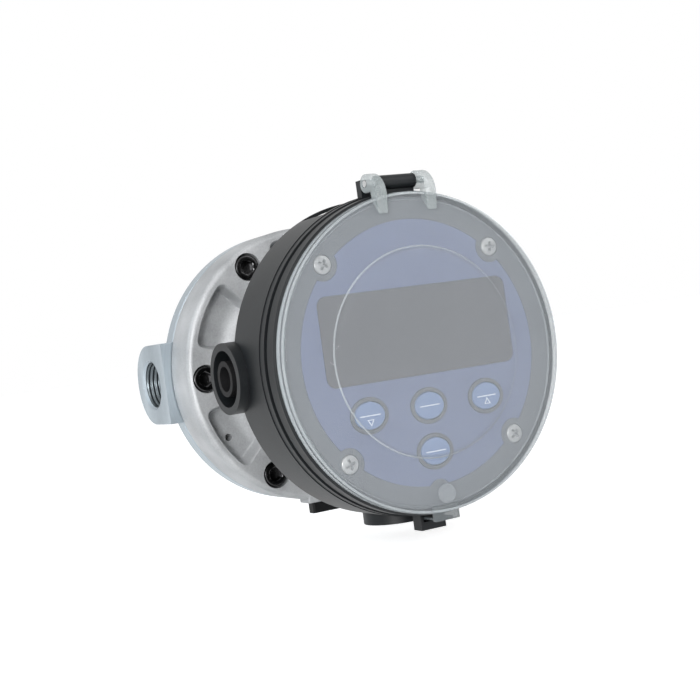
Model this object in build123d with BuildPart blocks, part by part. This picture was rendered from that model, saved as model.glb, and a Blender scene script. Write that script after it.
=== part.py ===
"""Oval gear flow meter with a round display under a clear flip-up cover.

Frame: origin at the centre of the body's flat rear face, +Z up, the pipe runs
along X, and the display faces -Y. All lengths are in millimetres, angles in degrees.
"""
import math
import os
from bisect import bisect_right

from build123d import *

os.makedirs("parts", exist_ok=True)

# Gear pair
centre_distance = 32.0
long_to_short = 1.5
tooth_count = 26
pressure_angle = 28.0
addendum = 1.0
dedendum = 1.4
backlash = 0.25
gear_width = 20.0
gear_end_gap = 0.3
gear_tip_gap = 0.3
shaft_diameter = 8.0
shaft_seat_depth = 8.0
shaft_running_gap = 0.04
bush_wall = 2.5
magnet_diameter = 5.0
magnet_length = 4.0
magnet_orbit = 10.5
magnet_cover = 0.4

# Meter body
body_diameter = 113.0
body_depth = 33.0
flange_thickness = 8.5
barrel_diameter = 96.0
edge_break = 0.7
port_proud = 3.0
port_width = 33.0
port_bore = 19.0
port_mouth = 21.0
port_depth = 16.0
passage_bore = 9.0
seal_section = 2.4
seal_radius = 41.0
seal_gap = 0.05

# Cast cover
cover_thickness = 18.5
cover_edge_radius = 2.4
screw_inset = 7.5
screw_count = 6
screw_thread = 6.0
screw_head_diameter = 10.0
screw_head_height = 6.0
screw_head_bevel = 0.4
screw_socket = 5.0
screw_socket_depth = 3.2
counterbore_diameter = 11.4
counterbore_depth = 6.6
screw_clearance = 0.4
screw_slack = 0.05
screw_engagement = 4.6
tapped_hole_extra = 0.6
pocket_land = 3.9
pocket_depth = 7.0
pocket_half_angle = 15.5
pocket_pitch = 60.0
pocket_count = 5
pocket_start = -30.0
pocket_corner_radius = 3.0
pocket_slope = 1.6
boss_radius = 33.0
boss_height = 9.0
boss_sweep = 8.0
pocket_floor_radius = 43.0
pocket_rise_radius = 10.0
drain_hole_diameter = 3.0
drain_hole_depth = 6.0
drain_hole_angle = 211.6
drain_hole_inset = 9.2
sensor_wall = 4.5
sensor_cavity_radius = 20.0
sensor_step_radius = 17.5
sensor_step_height = 3.5
sensor_board_thickness = 1.6
chip_size = 3.0
chip_height = 1.2
chip_spread = 45.0

# Black cap under the cover's rim
cap_width = 20.0
cap_depth = 5.0
cap_height = 4.3
cap_tongue_width = 15.0
cap_tongue_depth = 3.0
cap_tongue_height = 10.0
cap_front_offset = 0.4
pad_width = 23.0
pad_drop = 0.5
pad_depth = 9.0

# Neck between the cast cover and the display
neck_length = 25.0
neck_top_inset = 4.5
neck_wall = 3.0
neck_flange_thickness = 5.0
neck_top_width = 10.5
neck_screw_inset = 7.4
neck_screw_thread = 4.0
neck_screw_length = 11.0
neck_screw_head = 7.0
neck_screw_head_height = 2.6
neck_screw_socket = 3.0
gasket_thickness = 1.0
housing_screw_inset = 6.0
small_screw_count = 4
small_screw_start = 45.0
housing_screw_length = 8.0

# Display housing
housing_depth = 49.0
can_gap = 8.3
can_wall = 3.0
rear_wall = 3.0
rim_radius = 58.3
rim_length = 5.7
groove_length = 1.3
groove_depth = 1.1
collar_step = 0.5
collar_length = 3.5
skirt_step = 0.3
skirt_length = 21.5
skirt_wall = 1.3
shoulder_thickness = 3.0
shoulder_setback = 2.5
rim_wall = 2.2
seal_land = 2.6
window_half_angle = 25.0
hoop_width = 1.0
conduit_outer_diameter = 26.0
conduit_proud = 3.3
conduit_setback = 34.3
conduit_recess_diameter = 20.6
conduit_recess_depth = 10.0
fascia_boss_bore = 2.8
grommet_tube_diameter = 13.0
grommet_bore = 9.2
grommet_base_thickness = 2.0
grommet_inner_reach = 3.0
fit_gap = 0.15
lead_hole_diameter = 6.0
lead_diameter = 3.0
lead_drop = 15.5

# Fascia
fascia_setback = 0.2
fascia_thickness = 2.0
fascia_gap = 0.2
label_margin = 7.9
label_thickness = 0.5
label_scallop = 5.8
label_pip_scallop = 5.0
fascia_screw_inset = 6.54
fascia_screw_thread = 3.0
fascia_screw_head = 7.0
fascia_screw_head_height = 1.6
fascia_screw_sink = 0.8
fascia_screw_length = 8.0
cross_slot_length = 4.4
cross_slot_width = 0.9
cross_slot_depth = 0.9
fascia_boss_diameter = 9.0
seal_ring_thickness = 0.8
lcd_width = 78.4
lcd_height = 31.8
lcd_centre_height = 7.9
lcd_corner_radius = 3.5
lcd_module_margin = 1.4
board_thickness = 1.6
board_gap = 1.0
board_boss_gap = 0.5

# Keys
key_width = 12.2
key_height = 9.8
key_pitch = 24.6
key_row_height = -19.3
key_bottom_height = -35.8
key_ring_width = 1.7
key_proud = 0.7
key_dish = 0.3
key_gap = 0.3
key_flange = 1.1
key_flange_thickness = 1.0
key_travel = 0.8
key_stem_diameter = 4.0
switch_size = 6.0
switch_height = 1.4
touch_gap = 0.05

# Power and wiring inside the housing
cell_diameter = 14.2
cell_length = 50.0
cell_tip_diameter = 5.5
cell_tip_length = 1.2
cell_spring_length = 2.4
cell_spacing = 15.4
tray_wall = 1.5
tray_depth = 11.0
tray_centre_height = 5.0
terminal_width = 30.0
terminal_height = 10.0
terminal_depth = 10.0
terminal_centre_height = -33.0
terminal_ways = 6
terminal_hole = 3.0

# Clear cover, hinge and latch
cover_inset = 0.8
cover_gap = 0.3
cover_rim_depth = 3.4
cover_wall = 1.9
cover_rim_wall = 2.4
cover_face_rise = 0.5
cover_step_radius = 36.6
cover_step_rise = 1.8
cover_step_width = 1.5
pip_radius = 2.1
pip_height = 0.8
pip_inset = 6.6
hinge_lift = 3.7
hinge_setback = 3.0
hinge_lobe_radius = 3.4
knuckle_radius = 2.6
hinge_pin_diameter = 2.4
hinge_running_gap = 0.05
ear_inner = 8.1
ear_thickness = 4.2
ear_rib_drop = 7.5
ear_nose_drop = 0.3
ear_rib_radius = 0.8
knuckle_half_length = 7.8
bracket_half_width = 10.4
bracket_gap = 2.9
bracket_thickness = 3.2
bracket_rise = 2.2
tab_width = 10.5
tab_drop = 3.1
tab_thickness = 2.0
hook_width = 6.5
hook_thickness = 1.0
hook_length = 2.4
hook_gap = 0.86
catch_width = 10.4
catch_drop = 4.2
catch_length = 5.6
catch_front_gap = 8.2
catch_slot_length = 4.0

# Planes along Y, from the rear face (0) to the front
flange_rear_y = -(body_depth - flange_thickness)
joint_y = -body_depth
chamber_floor_y = joint_y + gear_width + 2 * gear_end_gap
face_y = joint_y - cover_thickness
boss_y = face_y - boss_height
neck_base_y = boss_y - gasket_thickness
neck_top_y = neck_base_y - neck_length
housing_rear_y = neck_top_y - gasket_thickness
housing_front_y = housing_rear_y - housing_depth
rim_rear_y = housing_front_y + rim_length
collar_front_y = rim_rear_y + groove_length
collar_rear_y = collar_front_y + collar_length
skirt_rear_y = collar_rear_y + skirt_length
shoulder_rear_y = collar_rear_y + shoulder_setback
shoulder_front_y = shoulder_rear_y - shoulder_thickness
fascia_front_y = housing_front_y + fascia_setback
fascia_rear_y = fascia_front_y + fascia_thickness
rebate_y = fascia_rear_y + seal_ring_thickness
board_rear_y = shoulder_front_y
board_front_y = board_rear_y - board_thickness
rear_wall_inner_y = housing_rear_y - rear_wall
conduit_y = housing_front_y + conduit_setback
cover_rear_y = housing_front_y - cover_gap
cover_front_y = cover_rear_y - cover_rim_depth
hinge_y = housing_front_y + hinge_setback
port_y = -port_width / 2
body_radius = body_diameter / 2
port_face_x = body_radius + port_proud
screw_circle_radius = body_radius - screw_inset

# Radii that follow the housing's rim
collar_radius = rim_radius + collar_step
skirt_radius = collar_radius + skirt_step
can_radius = skirt_radius - skirt_wall - can_gap
rebate_radius = rim_radius - rim_wall
mouth_radius = rebate_radius - seal_land
conduit_reach = skirt_radius + conduit_proud
neck_top_radius = can_radius - neck_top_inset
neck_top_bore = neck_top_radius - neck_top_width
neck_screw_circle = boss_radius - neck_screw_inset
housing_screw_circle = neck_top_radius - housing_screw_inset
fascia_radius = rebate_radius - fascia_gap
label_radius = fascia_radius - label_margin
fascia_screw_offset = (fascia_radius - fascia_screw_inset) / math.sqrt(2)
board_radius = mouth_radius - board_gap
cover_radius = rim_radius - cover_inset
pip_drop = cover_radius - pip_inset
hinge_height = rim_radius + hinge_lift
tab_reach = cover_radius + tab_drop
catch_reach = skirt_radius + catch_drop


def front_plane(y):
    """A plane at this Y that faces the front, with its x along X and its y along Z."""
    return Plane.XZ.offset(-y)


def side_plane(side, x, y=0.0, z=0.0):
    """A plane that faces out along +X or -X, with its x along Y."""
    return Plane(origin=(side * x, y, z), x_dir=(0, 1, 0), z_dir=(side, 0, 0))


def radial_plane(angle):
    """A plane through the Y axis, with its x pointing out at this angle from +X."""
    turn = math.radians(angle)
    return Plane(
        origin=(0, 0, 0),
        x_dir=(math.cos(turn), 0, math.sin(turn)),
        z_dir=(-math.sin(turn), 0, math.cos(turn)),
    )


def ring_sector(inner, outer, middle_angle, half_angle):
    """Outline of a sector of a ring, drawn in the open line context; angles run from local x."""
    start = middle_angle - half_angle
    inner_arc = CenterArc((0, 0), inner, start, 2 * half_angle)
    outer_arc = CenterArc((0, 0), outer, start, 2 * half_angle)
    Line(inner_arc @ 0, outer_arc @ 0)
    Line(inner_arc @ 1, outer_arc @ 1)


# Pitch curve of the oval gears: r = p / (1 - e cos 2a), which rolls on its own copy
flattening = (long_to_short - 1) / (long_to_short + 1)
pitch_parameter = centre_distance * (1 - flattening**2) / 2
long_radius = pitch_parameter / (1 - flattening)
curve_steps = 2880
flank_halvings = 24
press = math.radians(pressure_angle)


def pitch_radius(angle):
    return pitch_parameter / (1 - flattening * math.cos(2 * angle))


def pitch_slope(angle):
    return -pitch_radius(angle) ** 2 * 2 * flattening * math.sin(2 * angle) / pitch_parameter


curve_angles = [2 * math.pi * i / curve_steps for i in range(curve_steps + 1)]
curve_lengths = [0.0]
for start, end in zip(curve_angles, curve_angles[1:]):
    middle = (start + end) / 2
    run = math.hypot(pitch_radius(middle), pitch_slope(middle)) * (end - start)
    curve_lengths.append(curve_lengths[-1] + run)
perimeter = curve_lengths[-1]
tooth_pitch = perimeter / tooth_count


def angle_at(length):
    """Polar angle of the point this far along the pitch curve."""
    turns, rest = divmod(length, perimeter)
    low = min(bisect_right(curve_lengths, rest), curve_steps) - 1
    share = (rest - curve_lengths[low]) / (curve_lengths[low + 1] - curve_lengths[low])
    return 2 * math.pi * (turns + (low + share) / curve_steps)


def flank_point(crossing, hand, travel):
    """Point of the flank that crosses the pitch curve at this length.

    The flank is the envelope of a straight rack flank that rolls along the pitch
    curve; travel is how far the rolling contact lies before the crossing.
    """
    angle = angle_at(crossing - travel)
    radius = pitch_radius(angle)
    slope = pitch_slope(angle)
    size = math.hypot(radius, slope)
    ahead = Vector(slope * math.cos(angle) - radius * math.sin(angle),
                   slope * math.sin(angle) + radius * math.cos(angle)) / size
    outward = Vector(ahead.Y, -ahead.X)
    contact = Vector(radius * math.cos(angle), radius * math.sin(angle))
    line = ahead * math.cos(press) + outward * (hand * math.sin(press))
    return contact + line * (travel * math.cos(press))


def flank_at_height(crossing, hand, height):
    """Point of one flank this far outside the pitch curve, found by halving."""
    low = -3 * dedendum
    high = 3 * addendum
    for _ in range(flank_halvings):
        middle = (low + high) / 2
        point = flank_point(crossing, hand, hand * middle)
        if math.hypot(point.X, point.Y) - pitch_radius(math.atan2(point.Y, point.X)) < height:
            low = middle
        else:
            high = middle
    return point


def tooth_flank(crossing, hand):
    """Four points of one flank, evenly spaced in height from its root to its tip."""
    step = (addendum + dedendum) / 3
    return [flank_at_height(crossing, hand, i * step - dedendum) for i in range(4)]


def oval_tooth_ring():
    """All teeth of one gear, drawn in the open line context, long axis along x."""
    half_tooth = (tooth_pitch - backlash) / 4
    flanks = []
    for tooth in range(tooth_count):
        centre = tooth * tooth_pitch
        flanks.append(tooth_flank(centre - half_tooth, -1))
        flanks.append(tooth_flank(centre + half_tooth, 1)[::-1])
    for flank, following in zip(flanks, flanks[1:] + flanks[:1]):
        Spline(*flank)
        Line(flank[-1], following[0])


upper_centre = (0, centre_distance / 2)
lower_centre = (0, -centre_distance / 2)
gear_front_y = joint_y + gear_end_gap
bush_bore = shaft_diameter / 2 + shaft_running_gap
bush_radius = bush_bore + bush_wall
chamber_radius = long_radius + addendum + gear_tip_gap

# Meter body: flange, barrel and a bar across it that ends in the two ports
with BuildPart() as meter_body:
    with BuildSketch(Plane.XY):
        with BuildLine():
            Polyline(
                (0, 0),
                (barrel_diameter / 2 - 2 * edge_break, 0),
                (barrel_diameter / 2, -2 * edge_break),
                (barrel_diameter / 2, flange_rear_y),
                (body_radius - 2 * edge_break, flange_rear_y),
                (body_radius, flange_rear_y - 2 * edge_break),
                (body_radius, joint_y + edge_break),
                (body_radius - edge_break, joint_y),
                (0, joint_y),
                close=True,
            )
        make_face()
    revolve(axis=Axis.Y)
    with BuildSketch(Plane.YZ.offset(-port_face_x)):
        with BuildLine():
            Polyline(
                (port_y, port_width / 2),
                (joint_y, port_width / 2),
                (joint_y, -port_width / 2),
                (port_y, -port_width / 2),
            )
            ThreePointArc((port_y, -port_width / 2), (0, 0), (port_y, port_width / 2))
        make_face()
    extrude(amount=2 * port_face_x)
    with BuildSketch(front_plane(chamber_floor_y)):
        with Locations(upper_centre, lower_centre):
            Circle(chamber_radius)
    extrude(amount=gear_width + 2 * gear_end_gap, mode=Mode.SUBTRACT)
    with BuildSketch(front_plane(chamber_floor_y)):
        with Locations(upper_centre, lower_centre):
            Circle(shaft_diameter / 2)
    extrude(amount=-shaft_seat_depth, mode=Mode.SUBTRACT)
    for side in (-1, 1):
        with BuildSketch(side_plane(side, port_face_x, port_y)):
            Circle(passage_bore / 2)
        extrude(amount=-port_face_x, mode=Mode.SUBTRACT)
        with BuildSketch(side_plane(side, port_face_x, port_y)):
            Circle(port_bore / 2)
        extrude(amount=-port_depth, mode=Mode.SUBTRACT)
        with BuildSketch(side_plane(side, port_face_x, port_y)):
            Circle(port_mouth / 2)
        extrude(amount=-(port_mouth - port_bore) / 2, taper=45, mode=Mode.SUBTRACT)
    with BuildSketch(front_plane(joint_y)):
        with PolarLocations(screw_circle_radius, screw_count):
            Circle(screw_thread / 2)
    extrude(amount=-(screw_engagement + tapped_hole_extra), mode=Mode.SUBTRACT)
    with BuildSketch(front_plane(joint_y)):
        Circle(seal_radius + 0.7 * seal_section)
        Circle(seal_radius - 0.7 * seal_section, mode=Mode.SUBTRACT)
    extrude(amount=-(seal_section + seal_gap), mode=Mode.SUBTRACT)
meter_body.part.label = "meter_body"
export_step(meter_body.part, "parts/meter_body.step")

with BuildPart() as body_o_ring:
    with BuildSketch(Plane.XY):
        with Locations((seal_radius, joint_y + seal_gap + seal_section / 2)):
            Circle(seal_section / 2)
    revolve(axis=Axis.Y)
body_o_ring.part.label = "body_o_ring"
export_step(body_o_ring.part, "parts/body_o_ring.step")

# The two shafts are pressed into the chamber floor
for shaft_name, centre in (("upper_shaft", upper_centre), ("lower_shaft", lower_centre)):
    with BuildPart() as shaft:
        with BuildSketch(front_plane(chamber_floor_y + shaft_seat_depth)):
            with Locations(centre):
                Circle(shaft_diameter / 2)
        extrude(amount=shaft_seat_depth + gear_width + gear_end_gap)
        chamfer(shaft.edges().sort_by(Axis.Y)[0], edge_break)
    shaft.part.label = shaft_name
    export_step(shaft.part, f"parts/{shaft_name}.step")

# Oval gears: the upper one points its long axis at the lower one's short side
gear_poses = (("upper", upper_centre, (0, 0, -1)), ("lower", lower_centre, (1, 0, 0)))
for gear_name, centre, long_way in gear_poses:
    gear_plane = Plane(
        origin=(centre[0], gear_front_y + gear_width, centre[1]), x_dir=long_way, z_dir=(0, -1, 0)
    )
    with BuildPart() as gear:
        with BuildSketch(gear_plane):
            with BuildLine():
                oval_tooth_ring()
            make_face()
            Circle(bush_radius, mode=Mode.SUBTRACT)
        extrude(amount=gear_width)
        if gear_name == "upper":
            with BuildSketch(gear_plane.offset(gear_width)):
                with Locations((magnet_orbit, 0), (-magnet_orbit, 0)):
                    Circle(magnet_diameter / 2)
            extrude(amount=-(magnet_length + magnet_cover), mode=Mode.SUBTRACT)
    gear.part.label = f"{gear_name}_gear"
    export_step(gear.part, f"parts/{gear_name}_gear.step")
    with BuildPart() as bush:
        with BuildSketch(gear_plane):
            Circle(bush_radius)
            Circle(bush_bore, mode=Mode.SUBTRACT)
        extrude(amount=gear_width)
    bush.part.label = f"{gear_name}_bush"
    export_step(bush.part, f"parts/{gear_name}_bush.step")

with BuildPart() as gear_magnets:
    with BuildSketch(front_plane(gear_front_y + magnet_cover + magnet_length)):
        with Locations((0, upper_centre[1] + magnet_orbit), (0, upper_centre[1] - magnet_orbit)):
            Circle(magnet_diameter / 2)
    extrude(amount=magnet_length)
gear_magnets.part.label = "gear_magnets"
export_step(gear_magnets.part, "parts/gear_magnets.step")

# Cast cover over the gears: a boss that carries the neck and pockets between the screws
pocket_floor_y = face_y + pocket_depth
pocket_rim_radius = body_radius - pocket_land
pocket_outer_radius = pocket_rim_radius - pocket_slope
rise_top_y = pocket_floor_y - pocket_rise_radius
with BuildPart() as pocket_form:
    with BuildSketch(Plane.XY):
        with BuildLine():
            Polyline(
                (pocket_floor_radius, pocket_floor_y),
                (pocket_outer_radius, pocket_floor_y),
                (pocket_rim_radius, face_y),
                (pocket_rim_radius, boss_y),
                (pocket_floor_radius - pocket_rise_radius, boss_y),
                (pocket_floor_radius - pocket_rise_radius, rise_top_y),
            )
            RadiusArc(
                (pocket_floor_radius - pocket_rise_radius, rise_top_y),
                (pocket_floor_radius, pocket_floor_y),
                pocket_rise_radius,
            )
        make_face()
    revolve(axis=Axis.Y)
    with BuildSketch(front_plane(pocket_floor_y)) as pocket_plan:
        for pocket in range(pocket_count):
            middle_angle = pocket_start + pocket * pocket_pitch
            with BuildLine():
                ring_sector(sensor_cavity_radius, pocket_rim_radius, middle_angle, pocket_half_angle)
            make_face()
        outer_corners = pocket_plan.vertices().group_by(lambda v: v.center().length)[-1]
        fillet(outer_corners, pocket_corner_radius)
    extrude(amount=pocket_floor_y - boss_y, mode=Mode.INTERSECT)

screw_seat_y = face_y + counterbore_depth
sensor_step_y = joint_y - sensor_wall - sensor_step_height
pad_base = body_radius + pad_drop
cap_front_y = face_y + cap_front_offset
with BuildPart() as meter_cover:
    with BuildSketch(Plane.XY):
        with BuildLine():
            Polyline(
                (boss_radius, face_y - boss_sweep),
                (boss_radius, boss_y + edge_break),
                (boss_radius - edge_break, boss_y),
                (0, boss_y),
                (0, joint_y),
                (body_radius - edge_break, joint_y),
                (body_radius, joint_y - edge_break),
                (body_radius, face_y + cover_edge_radius),
            )
            RadiusArc(
                (body_radius, face_y + cover_edge_radius),
                (body_radius - cover_edge_radius, face_y),
                cover_edge_radius,
            )
            Line((body_radius - cover_edge_radius, face_y), (boss_radius + boss_sweep, face_y))
            RadiusArc(
                (boss_radius + boss_sweep, face_y),
                (boss_radius, face_y - boss_sweep),
                -boss_sweep,
            )
        make_face()
    revolve(axis=Axis.Y)
    with BuildSketch(Plane.XY.offset(-pad_base)):
        with Locations((0, cap_front_y + pad_depth / 2)):
            Rectangle(pad_width, pad_depth)
    extrude(amount=pad_base - screw_circle_radius)
    add(pocket_form.part, mode=Mode.SUBTRACT)
    with BuildSketch(front_plane(joint_y)):
        with PolarLocations(screw_circle_radius, screw_count):
            Circle((screw_thread + screw_clearance) / 2)
    extrude(amount=cover_thickness, mode=Mode.SUBTRACT)
    with BuildSketch(front_plane(screw_seat_y)):
        with PolarLocations(screw_circle_radius, screw_count):
            Circle(counterbore_diameter / 2)
    extrude(amount=counterbore_depth, mode=Mode.SUBTRACT)
    with BuildSketch(front_plane(sensor_step_y)):
        Circle(sensor_cavity_radius)
    extrude(amount=sensor_step_y - boss_y, mode=Mode.SUBTRACT)
    with BuildSketch(front_plane(joint_y - sensor_wall)):
        Circle(sensor_step_radius)
    extrude(amount=sensor_step_height, mode=Mode.SUBTRACT)
    with BuildSketch(front_plane(boss_y)):
        with PolarLocations(neck_screw_circle, small_screw_count, small_screw_start):
            Circle(neck_screw_thread / 2)
    extrude(
        amount=neck_flange_thickness + gasket_thickness - neck_screw_length - tapped_hole_extra,
        mode=Mode.SUBTRACT,
    )
    with BuildSketch(front_plane(pocket_floor_y)):
        with PolarLocations(body_radius - drain_hole_inset, 1, drain_hole_angle):
            Circle(drain_hole_diameter / 2)
    extrude(amount=-drain_hole_depth, mode=Mode.SUBTRACT)
    with BuildSketch(Plane.XY.offset(-pad_base)):
        with Locations((0, cap_front_y + cap_depth / 2)):
            Rectangle(cap_tongue_width + 2 * fit_gap, cap_tongue_depth + 2 * fit_gap)
    extrude(amount=cap_tongue_height + fit_gap, mode=Mode.SUBTRACT)
meter_cover.part.label = "meter_cover"
export_step(meter_cover.part, "parts/meter_cover.step")

# Six socket head screws hold the cast cover down
with BuildPart() as cover_screws:
    with BuildSketch(front_plane(screw_seat_y)):
        with PolarLocations(screw_circle_radius, screw_count):
            Circle(screw_head_diameter / 2)
    extrude(amount=screw_head_height)
    chamfer(cover_screws.edges().group_by(Axis.Y)[0], screw_head_bevel)
    with BuildSketch(front_plane(screw_seat_y - screw_head_height)):
        with PolarLocations(screw_circle_radius, screw_count):
            RegularPolygon(screw_socket / 2, side_count=6, major_radius=False)
    extrude(amount=-screw_socket_depth, mode=Mode.SUBTRACT)
    with BuildSketch(front_plane(screw_seat_y)):
        with PolarLocations(screw_circle_radius, screw_count):
            Circle(screw_thread / 2 - screw_slack)
    extrude(amount=-(joint_y - screw_seat_y + screw_engagement))
cover_screws.part.label = "cover_screws"
export_step(cover_screws.part, "parts/cover_screws.step")

# Cap over the cover's spare entry, held by a tongue in the pad
with BuildPart() as entry_cap:
    with BuildSketch(Plane.XY.offset(-pad_base)):
        with Locations((0, cap_front_y + cap_depth / 2)):
            Rectangle(cap_width, cap_depth)
    extrude(amount=-cap_height)
    chamfer(entry_cap.edges().filter_by(Axis.Z), edge_break)
    with BuildSketch(Plane.XY.offset(-pad_base)):
        with Locations((0, cap_front_y + cap_depth / 2)):
            Rectangle(cap_tongue_width, cap_tongue_depth)
    extrude(amount=cap_tongue_height)
entry_cap.part.label = "entry_cap"
export_step(entry_cap.part, "parts/entry_cap.step")

# Sensor board on the step inside the boss, with two chips over the magnets' circle
board_seat_y = sensor_step_y
with BuildPart() as sensor_board:
    with BuildSketch(front_plane(board_seat_y)):
        Circle(sensor_cavity_radius - fit_gap)
    extrude(amount=sensor_board_thickness)
sensor_board.part.label = "sensor_board"
export_step(sensor_board.part, "parts/sensor_board.step")

with BuildPart() as hall_sensors:
    with BuildSketch(front_plane(board_seat_y)):
        with Locations(upper_centre):
            with PolarLocations(magnet_orbit, 2, -90, chip_spread, endpoint=True):
                Rectangle(chip_size, chip_size)
    extrude(amount=-chip_height)
hall_sensors.part.label = "hall_sensors"
export_step(hall_sensors.part, "parts/hall_sensors.step")

with BuildPart() as sensor_lead:
    with BuildSketch(front_plane(board_seat_y - sensor_board_thickness)):
        with Locations((0, -lead_drop)):
            Circle(lead_diameter / 2)
    extrude(amount=board_seat_y - sensor_board_thickness - board_rear_y)
sensor_lead.part.label = "sensor_lead"
export_step(sensor_lead.part, "parts/sensor_lead.step")

# Neck between the cast cover and the display: a hollow cone with a flange at each end
neck_base_bore = sensor_cavity_radius
neck_flare_y = neck_base_y - neck_flange_thickness
neck_collar_y = neck_top_y + neck_flange_thickness
with BuildPart() as display_neck:
    with BuildSketch(Plane.XY):
        with BuildLine():
            Spline(
                (boss_radius, neck_flare_y),
                (neck_top_radius, neck_collar_y),
                tangents=((0, -1), (0, -1)),
            )
            Polyline(
                (neck_top_radius, neck_collar_y),
                (neck_top_radius, neck_top_y),
                (neck_top_bore, neck_top_y),
                (neck_top_bore, neck_collar_y),
                (neck_top_radius - neck_wall, neck_collar_y),
                (boss_radius - neck_wall, neck_flare_y),
                (neck_base_bore, neck_flare_y),
                (neck_base_bore, neck_base_y),
                (boss_radius, neck_base_y),
                (boss_radius, neck_flare_y),
            )
        make_face()
    revolve(axis=Axis.Y)
    with BuildSketch(front_plane(neck_base_y)):
        with PolarLocations(neck_screw_circle, small_screw_count, small_screw_start):
            Circle((neck_screw_thread + screw_clearance) / 2)
    extrude(amount=neck_flange_thickness, mode=Mode.SUBTRACT)
    with BuildSketch(front_plane(neck_top_y)):
        with PolarLocations(housing_screw_circle, small_screw_count, small_screw_start):
            Circle(neck_screw_thread / 2)
    extrude(amount=-neck_flange_thickness, mode=Mode.SUBTRACT)
display_neck.part.label = "display_neck"
export_step(display_neck.part, "parts/display_neck.step")

# Flat gaskets at both ends of the neck, pierced by its screws
gasket_rings = (
    ("boss_gasket", boss_y, neck_base_bore, boss_radius, neck_screw_circle),
    ("neck_gasket", neck_top_y, neck_top_bore, neck_top_radius, housing_screw_circle),
)
for gasket_name, seat_y, bore, outer, hole_circle in gasket_rings:
    with BuildPart() as gasket:
        with BuildSketch(front_plane(seat_y)):
            Circle(outer)
            Circle(bore, mode=Mode.SUBTRACT)
            with PolarLocations(hole_circle, small_screw_count, small_screw_start):
                Circle((neck_screw_thread + screw_clearance) / 2, mode=Mode.SUBTRACT)
        extrude(amount=gasket_thickness)
    gasket.part.label = gasket_name
    export_step(gasket.part, f"parts/{gasket_name}.step")

# Screws that hold the neck to the cast cover and the housing to the neck
screw_sets = (
    ("neck_screws", neck_flare_y, neck_screw_circle, neck_screw_length),
    ("housing_screws", rear_wall_inner_y, housing_screw_circle, housing_screw_length),
)
for set_name, seat_y, circle, length in screw_sets:
    with BuildPart() as screw_set:
        with BuildSketch(front_plane(seat_y)):
            with PolarLocations(circle, small_screw_count, small_screw_start):
                Circle(neck_screw_head / 2)
        extrude(amount=neck_screw_head_height)
        with BuildSketch(front_plane(seat_y - neck_screw_head_height)):
            with PolarLocations(circle, small_screw_count, small_screw_start):
                RegularPolygon(neck_screw_socket / 2, side_count=6, major_radius=False)
        extrude(amount=-neck_screw_head_height / 2, mode=Mode.SUBTRACT)
        with BuildSketch(front_plane(seat_y)):
            with PolarLocations(circle, small_screw_count, small_screw_start):
                Circle(neck_screw_thread / 2 - screw_slack)
        extrude(amount=-length)
    screw_set.part.label = set_name
    export_step(screw_set.part, f"parts/{set_name}.step")

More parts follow.
